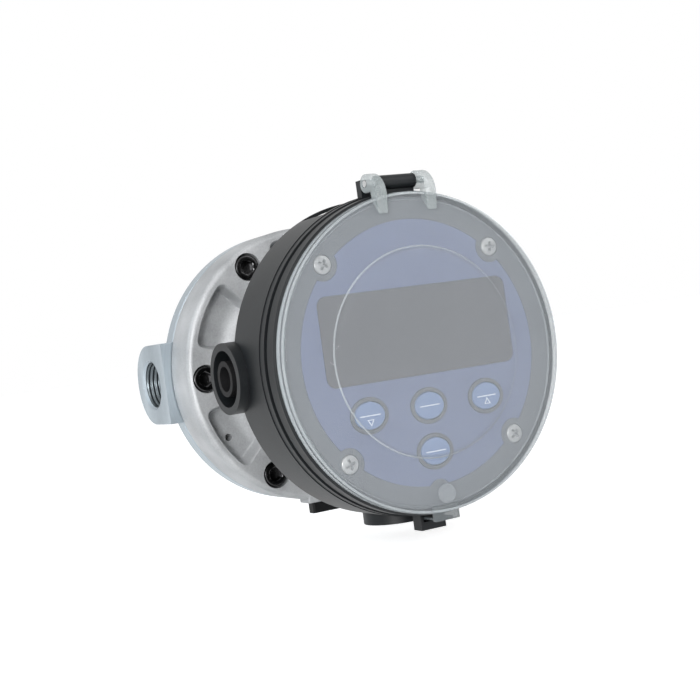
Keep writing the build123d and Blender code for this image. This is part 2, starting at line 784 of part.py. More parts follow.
# Display housing: stepped rim, hanging skirt with a window at the top, and a can behind it
can_inner_radius = can_radius - can_wall
window_rear_y = skirt_rear_y - hoop_width
bracket_front_y = hinge_y + hinge_lobe_radius + bracket_gap
catch_front_y = housing_front_y + catch_front_gap
hook_middle = tab_reach - hook_thickness / 2
left_side = Plane(origin=(0, conduit_y, 0), x_dir=(0, 1, 0), z_dir=(-1, 0, 0))
bottom_side = Plane(origin=(0, conduit_y, 0), x_dir=(0, 1, 0), z_dir=(0, 0, -1))
screw_corners = GridLocations(2 * fascia_screw_offset, 2 * fascia_screw_offset, 2, 2)
with BuildPart() as display_housing:
    with BuildSketch(Plane.XY):
        with BuildLine():
            Polyline(
                (0, housing_front_y),
                (rim_radius - edge_break, housing_front_y),
                (rim_radius, housing_front_y + edge_break),
                (rim_radius, rim_rear_y),
                (rim_radius - groove_depth, rim_rear_y),
                (rim_radius - groove_depth, collar_front_y),
                (collar_radius, collar_front_y),
                (collar_radius, collar_rear_y),
                (skirt_radius, collar_rear_y),
                (skirt_radius, skirt_rear_y),
                (skirt_radius - skirt_wall, skirt_rear_y),
                (skirt_radius - skirt_wall, shoulder_rear_y),
                (can_radius, shoulder_rear_y),
                (can_radius, housing_rear_y - 2 * edge_break),
                (can_radius - 2 * edge_break, housing_rear_y),
                (0, housing_rear_y),
                close=True,
            )
        make_face()
    revolve(axis=Axis.Y)
    for side_way in (left_side, bottom_side):
        with BuildSketch(side_way.offset(can_inner_radius)):
            Circle(conduit_outer_diameter / 2)
        extrude(amount=conduit_reach - can_inner_radius)
    with BuildSketch(front_plane(housing_rear_y)):
        Circle(conduit_reach)
    extrude(amount=-conduit_outer_diameter / 2, mode=Mode.SUBTRACT)
    # Hinge bracket at the top and catch at the bottom
    with BuildSketch(front_plane(bracket_front_y + bracket_thickness)):
        with Locations((0, rim_radius)):
            Rectangle(2 * bracket_half_width, 2 * (hinge_lift + bracket_rise))
    extrude(amount=bracket_thickness)
    with BuildSketch(Plane.YZ.offset(-knuckle_half_length)):
        with Locations((hinge_y, hinge_height)):
            Circle(knuckle_radius)
        with Locations(((hinge_y + bracket_front_y + bracket_thickness) / 2, rim_radius)):
            Rectangle(bracket_front_y + bracket_thickness - hinge_y, 2 * hinge_lift)
    extrude(amount=2 * knuckle_half_length)
    with BuildSketch(front_plane(catch_front_y + catch_length)):
        with Locations((0, -(catch_reach + collar_radius) / 2)):
            Rectangle(catch_width, catch_reach - collar_radius + 2 * groove_depth)
    extrude(amount=catch_length)
    # Inside of the can, mouth and rebate for the fascia
    with BuildSketch(Plane.XY):
        with BuildLine():
            Polyline(
                (0, rear_wall_inner_y),
                (can_inner_radius, rear_wall_inner_y),
                (can_inner_radius, shoulder_front_y),
                (mouth_radius, shoulder_front_y),
                (mouth_radius, rebate_y),
                (rebate_radius, rebate_y),
                (rebate_radius, housing_front_y),
                (0, housing_front_y),
                close=True,
            )
        make_face()
    revolve(axis=Axis.Y, mode=Mode.SUBTRACT)
    with BuildSketch(front_plane(shoulder_front_y)):
        with screw_corners:
            Circle(fascia_boss_diameter / 2)
    extrude(amount=shoulder_front_y - fascia_rear_y)
    with BuildSketch(front_plane(fascia_rear_y)):
        with screw_corners:
            Circle(fascia_boss_bore / 2)
    extrude(amount=-fascia_screw_length, mode=Mode.SUBTRACT)
    with BuildSketch(front_plane(window_rear_y)):
        with BuildLine():
            ring_sector(can_radius, skirt_radius + skirt_wall, 90, window_half_angle)
        make_face()
    extrude(amount=window_rear_y - shoulder_rear_y, mode=Mode.SUBTRACT)
    for side_way in (left_side, bottom_side):
        with BuildSketch(side_way.offset(conduit_reach)):
            Circle(conduit_recess_diameter / 2)
        extrude(amount=-conduit_recess_depth, mode=Mode.SUBTRACT)
        with BuildSketch(side_way.offset(conduit_reach)):
            Circle(grommet_tube_diameter / 2 + fit_gap)
        extrude(
            amount=-(conduit_reach - can_inner_radius + grommet_inner_reach), mode=Mode.SUBTRACT
        )
    with BuildSketch(Plane.YZ.offset(-knuckle_half_length)):
        with Locations((hinge_y, hinge_height)):
            Circle(hinge_pin_diameter / 2)
    extrude(amount=2 * knuckle_half_length, mode=Mode.SUBTRACT)
    with BuildSketch(front_plane(catch_front_y + catch_slot_length)):
        with Locations((0, -hook_middle)):
            Rectangle(hook_width + 2 * hook_gap, hook_thickness + 2 * hook_gap)
    extrude(amount=catch_slot_length, mode=Mode.SUBTRACT)
    with BuildSketch(front_plane(rear_wall_inner_y)):
        with PolarLocations(housing_screw_circle, small_screw_count, small_screw_start):
            Circle((neck_screw_thread + screw_clearance) / 2)
        with Locations((0, -lead_drop)):
            Circle(lead_hole_diameter / 2)
    extrude(amount=-rear_wall, mode=Mode.SUBTRACT)
display_housing.part.label = "display_housing"
export_step(display_housing.part, "parts/display_housing.step")

# Rubber seals of the two cable entries: a base ring and a tube through the can's wall
for grommet_name, side_way in (("left_grommet", left_side), ("bottom_grommet", bottom_side)):
    with BuildPart() as grommet:
        with BuildSketch(side_way.offset(conduit_reach - conduit_recess_depth)):
            Circle(conduit_recess_diameter / 2 - fit_gap)
        extrude(amount=grommet_base_thickness)
        with BuildSketch(side_way.offset(conduit_reach)):
            Circle(grommet_tube_diameter / 2)
        extrude(amount=-(conduit_reach - can_inner_radius + grommet_inner_reach))
        with BuildSketch(side_way.offset(conduit_reach)):
            Circle(grommet_bore / 2)
        extrude(
            amount=-(conduit_reach - can_inner_radius + grommet_inner_reach), mode=Mode.SUBTRACT
        )
    grommet.part.label = grommet_name
    export_step(grommet.part, f"parts/{grommet_name}.step")

with BuildPart() as fascia_seal:
    with BuildSketch(front_plane(rebate_y)):
        Circle(fascia_radius)
        Circle(mouth_radius + 2 * fit_gap, mode=Mode.SUBTRACT)
        with screw_corners:
            Circle(fascia_boss_diameter / 2 + fit_gap, mode=Mode.SUBTRACT)
    extrude(amount=seal_ring_thickness)
fascia_seal.part.label = "fascia_seal"
export_step(fascia_seal.part, "parts/fascia_seal.step")

# Keys: three in a row and one below
key_places = {
    "key_left": (-key_pitch, key_row_height),
    "key_middle": (0, key_row_height),
    "key_right": (key_pitch, key_row_height),
    "key_bottom": (0, key_bottom_height),
}
key_spots = list(key_places.values())
with BuildPart() as fascia_plate:
    with BuildSketch(front_plane(fascia_rear_y)):
        Circle(fascia_radius)
    extrude(amount=fascia_thickness)
    with BuildSketch(front_plane(fascia_front_y)):
        Circle(label_radius + fit_gap)
        with screw_corners:
            Circle(label_scallop - fit_gap, mode=Mode.SUBTRACT)
        with Locations((0, -pip_drop)):
            Circle(label_pip_scallop - fit_gap, mode=Mode.SUBTRACT)
        with Locations(key_spots):
            Ellipse(
                key_width / 2 + key_ring_width - fit_gap,
                key_height / 2 + key_ring_width - fit_gap,
                mode=Mode.SUBTRACT,
            )
    extrude(amount=-label_thickness, mode=Mode.SUBTRACT)
    with BuildSketch(front_plane(fascia_front_y)):
        with Locations((0, lcd_centre_height)):
            RectangleRounded(
                lcd_width + 2 * fit_gap, lcd_height + 2 * fit_gap, lcd_corner_radius + fit_gap
            )
        with Locations(key_spots):
            Ellipse(key_width / 2 + key_gap, key_height / 2 + key_gap)
        with screw_corners:
            Circle((fascia_screw_thread + screw_clearance) / 2)
    extrude(amount=-fascia_thickness, mode=Mode.SUBTRACT)
    with BuildSketch(front_plane(fascia_front_y)):
        with screw_corners:
            Circle(fascia_screw_head / 2 + fit_gap)
    extrude(amount=-fascia_screw_sink, mode=Mode.SUBTRACT)
fascia_plate.part.label = "fascia_plate"
export_step(fascia_plate.part, "parts/fascia_plate.step")

with BuildPart() as label_panel:
    with BuildSketch(front_plane(fascia_front_y + label_thickness)):
        Circle(label_radius)
        with screw_corners:
            Circle(label_scallop, mode=Mode.SUBTRACT)
        with Locations((0, -pip_drop)):
            Circle(label_pip_scallop, mode=Mode.SUBTRACT)
        with Locations(key_spots):
            Ellipse(
                key_width / 2 + key_ring_width, key_height / 2 + key_ring_width, mode=Mode.SUBTRACT
            )
        with Locations((0, lcd_centre_height)):
            RectangleRounded(
                lcd_width + 2 * fit_gap,
                lcd_height + 2 * fit_gap,
                lcd_corner_radius + fit_gap,
                mode=Mode.SUBTRACT,
            )
    extrude(amount=label_thickness)
label_panel.part.label = "label_panel"
export_step(label_panel.part, "parts/label_panel.step")

# Window pane flush with the fascia, seated on the display module behind it
module_front_y = fascia_rear_y
module_width = lcd_width - 2 * lcd_module_margin
module_height = lcd_height - 2 * lcd_module_margin
with BuildPart() as lcd_window:
    with BuildSketch(front_plane(fascia_rear_y)):
        with Locations((0, lcd_centre_height)):
            RectangleRounded(lcd_width, lcd_height, lcd_corner_radius)
    extrude(amount=fascia_thickness)
lcd_window.part.label = "lcd_window"
export_step(lcd_window.part, "parts/lcd_window.step")

with BuildPart() as lcd_module:
    with BuildSketch(front_plane(board_front_y)):
        with Locations((0, lcd_centre_height)):
            Rectangle(module_width, module_height)
    extrude(amount=board_front_y - module_front_y)
lcd_module.part.label = "lcd_module"
export_step(lcd_module.part, "parts/lcd_module.step")

with BuildPart() as main_board:
    with BuildSketch(front_plane(board_rear_y)):
        Circle(board_radius)
        with screw_corners:
            Circle(fascia_boss_diameter / 2 + board_boss_gap, mode=Mode.SUBTRACT)
    extrude(amount=board_thickness)
main_board.part.label = "main_board"
export_step(main_board.part, "parts/main_board.step")

with BuildPart() as key_switches:
    with BuildSketch(front_plane(board_front_y)):
        with Locations(key_spots):
            Rectangle(switch_size, switch_size)
    extrude(amount=switch_height)
key_switches.part.label = "key_switches"
export_step(key_switches.part, "parts/key_switches.step")

# Each key is a dished oval cap with a flange behind the fascia and a stem to its switch
key_front_y = fascia_front_y - key_proud
stem_rear_y = board_front_y - switch_height - key_travel - touch_gap
for key_name, key_centre in key_places.items():
    with BuildPart() as key:
        with BuildSketch(front_plane(fascia_rear_y)):
            with Locations(key_centre):
                Ellipse(key_width / 2, key_height / 2)
        extrude(amount=fascia_rear_y - key_front_y)
        fillet(key.edges().group_by(Axis.Y)[0], key_dish)
        with BuildSketch(front_plane(fascia_rear_y + key_gap)):
            with Locations(key_centre):
                Ellipse(key_width / 2, key_height / 2)
        extrude(amount=key_gap)
        with BuildSketch(front_plane(fascia_rear_y + key_gap + key_flange_thickness)):
            with Locations(key_centre):
                Ellipse(key_width / 2 + key_flange, key_height / 2 + key_flange)
        extrude(amount=key_flange_thickness)
        with BuildSketch(front_plane(stem_rear_y)):
            with Locations(key_centre):
                Circle(key_stem_diameter / 2)
        extrude(amount=stem_rear_y - fascia_rear_y - key_gap)
    key.part.label = key_name
    export_step(key.part, f"parts/{key_name}.step")

# Cross-head screws that hold the fascia
fascia_seat_y = fascia_front_y + fascia_screw_sink
with BuildPart() as fascia_screws:
    with BuildSketch(front_plane(fascia_seat_y)):
        with screw_corners:
            Circle(fascia_screw_head / 2)
    extrude(amount=fascia_screw_head_height)
    fillet(fascia_screws.edges().group_by(Axis.Y)[0], fascia_screw_head_height / 2)
    with BuildSketch(front_plane(fascia_seat_y - fascia_screw_head_height)):
        with screw_corners:
            Rectangle(cross_slot_length, cross_slot_width)
            Rectangle(cross_slot_width, cross_slot_length)
    extrude(amount=-cross_slot_depth, mode=Mode.SUBTRACT)
    with BuildSketch(front_plane(fascia_seat_y)):
        with screw_corners:
            Circle(fascia_boss_bore / 2 - screw_slack)
    extrude(amount=-fascia_screw_length)
fascia_screws.part.label = "fascia_screws"
export_step(fascia_screws.part, "parts/fascia_screws.step")

# Two cells in a tray on the housing's rear wall
tray_width = cell_length + 2 * cell_tip_length + 2 * cell_spring_length + 2 * tray_wall
tray_height = cell_spacing + cell_diameter + 2 * tray_wall + 2 * fit_gap
cell_y = rear_wall_inner_y - tray_wall - fit_gap - cell_diameter / 2
with BuildPart() as battery_tray:
    with BuildSketch(front_plane(rear_wall_inner_y)):
        with Locations((0, tray_centre_height)):
            Rectangle(tray_width, tray_height)
    extrude(amount=tray_depth)
    with BuildSketch(front_plane(rear_wall_inner_y - tray_wall)):
        with Locations((0, tray_centre_height)):
            Rectangle(tray_width - 2 * tray_wall, tray_height - 2 * tray_wall)
    extrude(amount=tray_depth, mode=Mode.SUBTRACT)
battery_tray.part.label = "battery_tray"
export_step(battery_tray.part, "parts/battery_tray.step")

with BuildPart() as battery_cells:
    with BuildSketch(Plane.YZ.offset(-cell_length / 2)):
        with Locations((cell_y, tray_centre_height)):
            with GridLocations(1, cell_spacing, 1, 2):
                Circle(cell_diameter / 2)
    extrude(amount=cell_length)
    with BuildSketch(Plane.YZ.offset(cell_length / 2)):
        with Locations((cell_y, tray_centre_height)):
            with GridLocations(1, cell_spacing, 1, 2):
                Circle(cell_tip_diameter / 2)
    extrude(amount=cell_tip_length)
battery_cells.part.label = "battery_cells"
export_step(battery_cells.part, "parts/battery_cells.step")

with BuildPart() as terminal_block:
    with BuildSketch(front_plane(rear_wall_inner_y)):
        with Locations((0, terminal_centre_height)):
            Rectangle(terminal_width, terminal_height)
    extrude(amount=terminal_depth)
    with BuildSketch(front_plane(rear_wall_inner_y - terminal_depth)):
        with Locations((0, terminal_centre_height)):
            with GridLocations(terminal_width / terminal_ways, 1, terminal_ways, 1):
                Circle(terminal_hole / 2)
    extrude(amount=-terminal_depth / 2, mode=Mode.SUBTRACT)
terminal_block.part.label = "terminal_block"
export_step(terminal_block.part, "parts/terminal_block.step")

# Hinge pin, fixed in the knuckle and loose in the cover's ears
ear_outer = ear_inner + ear_thickness
with BuildPart() as hinge_pin:
    with BuildSketch(Plane.YZ.offset(-ear_outer)):
        with Locations((hinge_y, hinge_height)):
            Circle(hinge_pin_diameter / 2)
    extrude(amount=2 * ear_outer)
hinge_pin.part.label = "hinge_pin"
export_step(hinge_pin.part, "parts/hinge_pin.step")

# Clear cover: a shallow bowl with a raised circle, two ears on the pin and a tab that hooks in
face_front_y = cover_front_y - cover_face_rise
step_front_y = face_front_y - cover_step_rise
step_foot = cover_step_radius + cover_step_width
inner_step = cover_step_radius - cover_step_width
tab_rear_y = cover_rear_y
ear_nose = (face_front_y - ear_rib_radius, cover_radius - ear_nose_drop)
hook_rear_y = catch_front_y + hook_length
with BuildPart() as weather_cover:
    with BuildSketch(Plane.XY):
        with BuildLine():
            Polyline(
                (0, step_front_y),
                (cover_step_radius, step_front_y),
                (step_foot, face_front_y),
                (cover_radius - edge_break, cover_front_y),
                (cover_radius, cover_front_y + edge_break),
                (cover_radius, cover_rear_y),
                (cover_radius - cover_rim_wall, cover_rear_y),
                (cover_radius - cover_rim_wall, cover_front_y + cover_wall),
                (step_foot, face_front_y + cover_wall),
                (cover_step_radius, step_front_y + cover_wall),
                (0, step_front_y + cover_wall),
                close=True,
            )
        make_face()
    revolve(axis=Axis.Y)
    with BuildSketch(front_plane(cover_front_y)):
        with Locations((0, -pip_drop)):
            Circle(pip_radius)
    extrude(amount=pip_height)
    for ear_x in (-ear_outer, ear_inner):
        with BuildSketch(Plane.YZ.offset(ear_x)):
            with BuildLine():
                ear_lobe = CenterArc((hinge_y, hinge_height), hinge_lobe_radius, -90, 180)
                TangentArc(ear_lobe @ 1, ear_nose, tangent=(-1, 0))
                Polyline(
                    ear_lobe @ 0,
                    (cover_rear_y, hinge_height - hinge_lobe_radius),
                    (cover_rear_y, cover_radius - cover_rim_wall),
                    (face_front_y, cover_radius - ear_rib_drop),
                    ear_nose,
                )
            make_face()
        extrude(amount=ear_thickness)
    with BuildSketch(Plane.YZ.offset(-ear_outer)):
        with Locations((hinge_y, hinge_height)):
            Circle(hinge_pin_diameter / 2 + hinge_running_gap)
    extrude(amount=2 * ear_outer, mode=Mode.SUBTRACT)
    with BuildSketch(front_plane(tab_rear_y)):
        with Locations((0, -(cover_radius - cover_rim_wall + tab_reach) / 2)):
            Rectangle(tab_width, tab_reach - cover_radius + cover_rim_wall)
    extrude(amount=tab_thickness)
    with BuildSketch(front_plane(hook_rear_y)):
        with Locations((0, -hook_middle)):
            Rectangle(hook_width, hook_thickness)
    extrude(amount=hook_rear_y - tab_rear_y)
weather_cover.part.label = "weather_cover"
export_step(weather_cover.part, "parts/weather_cover.step")
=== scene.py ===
"""Oval gear flow meter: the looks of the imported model, its studio and its camera."""
from __future__ import annotations

import logging
import math
from dataclasses import dataclass
from enum import Enum
from typing import Any, Sequence

import bmesh
import bpy
import numpy as np
from mathutils import Matrix, Vector


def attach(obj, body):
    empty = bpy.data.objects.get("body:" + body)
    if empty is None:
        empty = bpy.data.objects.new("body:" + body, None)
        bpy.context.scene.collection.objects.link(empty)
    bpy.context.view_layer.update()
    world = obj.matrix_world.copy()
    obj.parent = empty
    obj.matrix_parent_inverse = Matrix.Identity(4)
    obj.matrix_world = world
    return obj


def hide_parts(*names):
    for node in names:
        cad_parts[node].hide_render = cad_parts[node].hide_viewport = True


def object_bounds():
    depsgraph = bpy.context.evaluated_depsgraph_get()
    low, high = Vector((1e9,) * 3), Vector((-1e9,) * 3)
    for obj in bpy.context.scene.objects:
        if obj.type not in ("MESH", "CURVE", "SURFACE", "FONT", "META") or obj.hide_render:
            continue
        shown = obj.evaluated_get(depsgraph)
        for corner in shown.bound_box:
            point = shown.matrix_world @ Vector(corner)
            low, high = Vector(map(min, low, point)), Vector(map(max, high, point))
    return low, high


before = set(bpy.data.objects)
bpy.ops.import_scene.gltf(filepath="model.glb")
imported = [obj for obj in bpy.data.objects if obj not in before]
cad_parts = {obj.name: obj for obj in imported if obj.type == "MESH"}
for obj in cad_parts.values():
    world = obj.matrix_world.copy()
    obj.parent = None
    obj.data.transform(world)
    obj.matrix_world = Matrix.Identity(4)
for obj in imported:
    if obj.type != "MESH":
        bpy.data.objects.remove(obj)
CAD_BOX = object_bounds()
LOG = logging.getLogger("flow_meter")
MM = 0.001
# Noise of the finishes, and the Mix node's two colour sockets
GRAIN_DETAIL, GRAIN_ROUGHNESS, GRAIN_SHARE = 3.0, 0.6, 0.5
BLOTCH_DETAIL = 2.0
SHARE_LOW, SHARE_HIGH = 0.5, 1.0
SMOOTHEST = 0.02
COLOUR_A, COLOUR_B = 6, 7
# Arcs of a profile: how much of a side one may take, and where its guard points lie
CORNER_REACH = 0.46
GUARD_MM, GUARD_SHARE = 0.12, 0.04
# Meshes
BEVEL_STEPS = 3
BEVEL_DEGREES = 30.0
MERGE_MM = 0.0005
ROUND_STEP_DEGREES = 3.75


def linear(code: str) -> tuple[float, float, float, float]:
    """Turn an sRGB hex colour into linear red, green, blue and an alpha of 1.

    Args:
        code: Six hex digits, such as "5a5f63".

    Returns:
        Linear channels: c / 12.92 below 0.04045, else ((c + 0.055) / 1.055) to the power 2.4.
    """
    parts = [int(code[i : i + 2], 16) / 255 for i in (0, 2, 4)]
    red, green, blue = (c / 12.92 if c < 0.04045 else ((c + 0.055) / 1.055) ** 2.4 for c in parts)
    return (red, green, blue, 1.0)


def add_node(
    tree: bpy.types.NodeTree,
    kind: str,
    settings: dict[str, Any] | None = None,
    links: dict[str, bpy.types.NodeSocket] | None = None,
) -> bpy.types.Node:
    """Add one node to a tree.

    Args:
        tree: The material's or world's node tree.
        kind: Blender's node type name.
        settings: Node attributes, or input sockets by name or number, with their values.
        links: Input sockets by name or number, with the output socket that feeds each.

    Returns:
        The new node.
    """
    made = tree.nodes.new(kind)
    for key, value in (settings or {}).items():
        if isinstance(key, str) and hasattr(made, key):
            setattr(made, key, value)
        else:
            made.inputs[key].default_value = value
    for key, source in (links or {}).items():
        tree.links.new(source, made.inputs[key])
    return made


class Pattern(Enum):
    """How the grain of a finish is laid."""

    GRAIN = "even grain"
    TURNED = "rings about the Y axis"


@dataclass(frozen=True)
class Finish:
    """A surface finish on the Principled shader, with a fine grain in colour, gloss and relief.

    Real grains here are about 0.1 mm or finer, too fine to show; they are drawn 0.3 to 1.5 mm.
    """

    name: str
    colour: str
    second: str
    roughness: float = 0.5
    metallic: float = 0.0
    pattern: Pattern = Pattern.GRAIN
    grain_mm: float = 0.8
    relief_mm: float = 0.01
    gloss_spread: float = 0.08
    blotch_mm: float = 18.0
    specular: float = 0.5

    def coordinates(self, tree: bpy.types.NodeTree) -> bpy.types.NodeSocket:
        """Where the grain is read: object coordinates in metres, or (radius, y) for rings.

        Args:
            tree: The material's node tree.

        Returns:
            The socket with the coordinates.
        """
        place = add_node(tree, "ShaderNodeTexCoord")
        if self.pattern is Pattern.TURNED:
            parts = add_node(tree, "ShaderNodeSeparateXYZ", links={0: place.outputs["Object"]})
            flat = add_node(
                tree, "ShaderNodeCombineXYZ", links={0: parts.outputs[0], 1: parts.outputs[2]}
            )
            radius = add_node(
                tree, "ShaderNodeVectorMath", {"operation": "LENGTH"}, {0: flat.outputs[0]}
            )
            rings = add_node(
                tree,
                "ShaderNodeCombineXYZ",
                links={0: radius.outputs["Value"], 1: parts.outputs[1]},
            )
            return rings.outputs[0]
        return place.outputs["Object"]

    def build(self) -> bpy.types.Material:
        """Make the material, or return it if it was made before.

        Returns:
            The material.
        """
        if self.name in bpy.data.materials:
            return bpy.data.materials[self.name]
        material = bpy.data.materials.new(self.name)
        material.use_nodes = True
        tree = material.node_tree
        shader = tree.nodes["Principled BSDF"]
        shader.inputs["Metallic"].default_value = self.metallic
        shader.inputs["Specular IOR Level"].default_value = self.specular
        place = self.coordinates(tree)
        grain = add_node(
            tree,
            "ShaderNodeTexNoise",
            {
                "Scale": 1.0 / (self.grain_mm * MM),
                "Detail": GRAIN_DETAIL,
                "Roughness": GRAIN_ROUGHNESS,
            },
            {"Vector": place},
        )
        blotch = add_node(
            tree,
            "ShaderNodeTexNoise",
            {"Scale": 1.0 / (self.blotch_mm * MM), "Detail": BLOTCH_DETAIL},
            {"Vector": place},
        )
        share = add_node(
            tree,
            "ShaderNodeMath",
            {"operation": "MULTIPLY_ADD", 1: GRAIN_SHARE},
            {0: grain.outputs["Fac"], 2: blotch.outputs["Fac"]},
        )
        spread = add_node(
            tree,
            "ShaderNodeMapRange",
            {"From Min": SHARE_LOW, "From Max": SHARE_HIGH},
            {"Value": share.outputs[0]},
        )
        tint = add_node(
            tree,
            "ShaderNodeMix",
            {"data_type": "RGBA", COLOUR_A: linear(self.colour), COLOUR_B: linear(self.second)},
            {0: spread.outputs[0]},
        )
        tree.links.new(tint.outputs[2], shader.inputs["Base Color"])
        gloss = add_node(
            tree,
            "ShaderNodeMapRange",
            {
                "To Min": max(SMOOTHEST, self.roughness - self.gloss_spread),
                "To Max": self.roughness + self.gloss_spread,
            },
            {"Value": grain.outputs["Fac"]},
        )
        tree.links.new(gloss.outputs[0], shader.inputs["Roughness"])
        relief = add_node(
            tree,
            "ShaderNodeBump",
            {"Distance": self.relief_mm * MM, "Strength": 1.0},
            {"Height": grain.outputs["Fac"]},
        )
        tree.links.new(relief.outputs[0], shader.inputs["Normal"])
        return material


@dataclass(frozen=True)
class ClearPlastic:
    """A clear moulded plastic: a thin haze of colour, seen through, with a glossy skin."""

    name: str
    colour: str
    alpha: float
    edge_alpha: float
    roughness: float = 0.08
    smear_mm: float = 25.0
    smear_spread: float = 0.4
    edge_blend: float = 0.35
    ior: float = 1.58

    def build(self) -> bpy.types.Material:
        """Make the material, or return it if it was made before.

        Returns:
            The material.
        """
        if self.name in bpy.data.materials:
            return bpy.data.materials[self.name]
        material = bpy.data.materials.new(self.name)
        material.use_nodes = True
        tree = material.node_tree
        shader = tree.nodes["Principled BSDF"]
        shader.inputs["Base Color"].default_value = linear(self.colour)
        shader.inputs["IOR"].default_value = self.ior
        place = add_node(tree, "ShaderNodeTexCoord")
        smears = add_node(
            tree,
            "ShaderNodeTexNoise",
            {"Scale": 1.0 / (self.smear_mm * MM), "Detail": BLOTCH_DETAIL},
            {"Vector": place.outputs["Object"]},
        )
        gloss = add_node(
            tree,
            "ShaderNodeMapRange",
            {
                "To Min": self.roughness * (1 - self.smear_spread),
                "To Max": self.roughness * (1 + self.smear_spread),
            },
            {"Value": smears.outputs["Fac"]},
        )
        tree.links.new(gloss.outputs[0], shader.inputs["Roughness"])
        edge = add_node(tree, "ShaderNodeLayerWeight", {"Blend": self.edge_blend})
        body = add_node(
            tree,
            "ShaderNodeMapRange",
            {"To Min": self.alpha, "To Max": self.edge_alpha},
            {"Value": edge.outputs["Facing"]},
        )
        tree.links.new(body.outputs[0], shader.inputs["Alpha"])
        return material


# Finishes, each named for the real material, and for the painted light where one carries it; the
# comment says what it gives the eye

# Turned aluminium: fine rings about the body's axis and a cool, soft shine
MACHINED = Finish(
    "turned_aluminium", "858f96", "a9b3ba", 0.34, 0.65, Pattern.TURNED, 0.6, 0.012, 0.06
)
# Blasted casting: warm light grey with a sandy skin
CAST = Finish(
    "blasted_cast_aluminium", "8e9092", "b2b4b6", 0.48, 0.3, Pattern.GRAIN, 0.7, 0.11, 0.1
)
# Cut aluminium thread: metal painted darker than the body, painted shade for the inside of a port
SHADED_THREAD = Finish(
    "cut_thread_aluminium_painted_shade", "565d61", "6a7175", 0.35, 0.85, grain_mm=0.5, relief_mm=0.006
)
# Black oxide on steel: near black with small bright glints
BLACK_STEEL = Finish(
    "blackened_screw_steel", "353536", "474748", 0.24, 1.0, grain_mm=0.5, relief_mm=0.004
)
# Bright zinc: pale metal with a lively, slightly uneven shine
ZINC = Finish("bright_zinc_steel", "86888a", "b6b7b5", 0.24, 0.5, grain_mm=0.9, relief_mm=0.03)
# Ground steel: bright, even and smooth
GROUND = Finish("fine_ground_steel", "b9babb", "c9caca", 0.22, 1.0, grain_mm=0.3, relief_mm=0.002)
# Machined stainless: a little darker than the pins
GEAR = Finish("gear_stainless_steel", "b2b3b4", "c4c5c5", 0.30, 1.0, grain_mm=0.4, relief_mm=0.004)
# Moulded nylon: satin charcoal with a fine spark-eroded grain; the neck is a little duller
NYLON = {"grain_mm": 0.45, "relief_mm": 0.012, "gloss_spread": 0.06, "specular": 0.22}
HOUSING = Finish("moulded_black_nylon", "111315", "171a1c", 0.44, **NYLON)
NECK = Finish("moulded_neck_nylon", "16181a", "1b1e20", 0.5, **NYLON)
# Satin black moulding
CAP = Finish("moulded_black_cap", "060607", "0a0b0c", 0.45, grain_mm=0.4, specular=0.15)
# Rubber: black with almost no shine
RUBBER = Finish("moulded_rubber", "0e0e0f", "151516", 0.6, grain_mm=0.5, specular=0.15)
# Pressed fibre: dull and slightly hairy
GASKET = Finish("fibre_gasket", "2c2c2b", "373735", 0.8, grain_mm=0.6, relief_mm=0.03)
# Moulded grey plastic: satin, the fascia and the rings round the keys
FASCIA = Finish("moulded_grey_fascia", "4f5358", "585c61", 0.5, grain_mm=0.4, relief_mm=0.008)
BEZEL = Finish("moulded_key_ring", "484c52", "52565c", 0.45, grain_mm=0.4, relief_mm=0.006)
# Printed film: flat blue grey, very even
LABEL = Finish(
    "printed_film", "556081", "5d6889", 0.4, grain_mm=0.3, relief_mm=0.002, gloss_spread=0.03
)
# Tinted window over the crystal: dark grey with a sheen
WINDOW = Finish(
    "tinted_window", "403d41", "464347", 0.25, grain_mm=1.0, relief_mm=0.0, gloss_spread=0.02
)
# Moulded blue key caps and their white print
KEY = Finish("moulded_blue_key", "657ba3", "6d83aa", 0.42, grain_mm=0.4, relief_mm=0.004)
PRINT = Finish(
    "white_print", "dfe6f0", "e6ecf4", 0.5, grain_mm=0.3, relief_mm=0.001, gloss_spread=0.03
)
# Inside: coated boards, moulded chips and terminals, sleeved cells, a lead's jacket
BOARD = Finish("coated_board", "1f5a36", "276a41", 0.35, grain_mm=1.5)
CHIP = Finish("moulded_chip", "17181a", "202124", 0.55, grain_mm=0.3, relief_mm=0.005)
WIRE = Finish("jacket_grey", "5e6062", "686a6c", 0.55, grain_mm=0.5)
CELL = Finish("sleeved_cell", "8a8d7c", "97998a", 0.35, 0.3, grain_mm=0.8, relief_mm=0.005)
TERMINAL = Finish("moulded_terminal", "6a6f6c", "747976", 0.5, grain_mm=0.4, relief_mm=0.008)
# Clear polycarbonate: a thin grey haze that thickens towards grazing view
COVER = ClearPlastic("clear_polycarbonate", "b2b8bd", 0.13, 0.5)
# The same plastic where it is thick, at the ears: milky, with a duller skin
FROSTED = ClearPlastic("frosted_polycarbonate", "a2aaab", 0.36, 0.8, 0.22)
# Painted highlights on its rim and step, where it is seen edge-on: light lines laid over the bowl
RIM_HIGHLIGHT = ClearPlastic("painted_rim_highlight_plastic", "b9c0c3", 0.3, 0.6, 0.15)
# Its tab, darkened by what lies behind it
TAB = ClearPlastic("clear_tab_over_dark", "5c6265", 0.62, 0.9, 0.25)

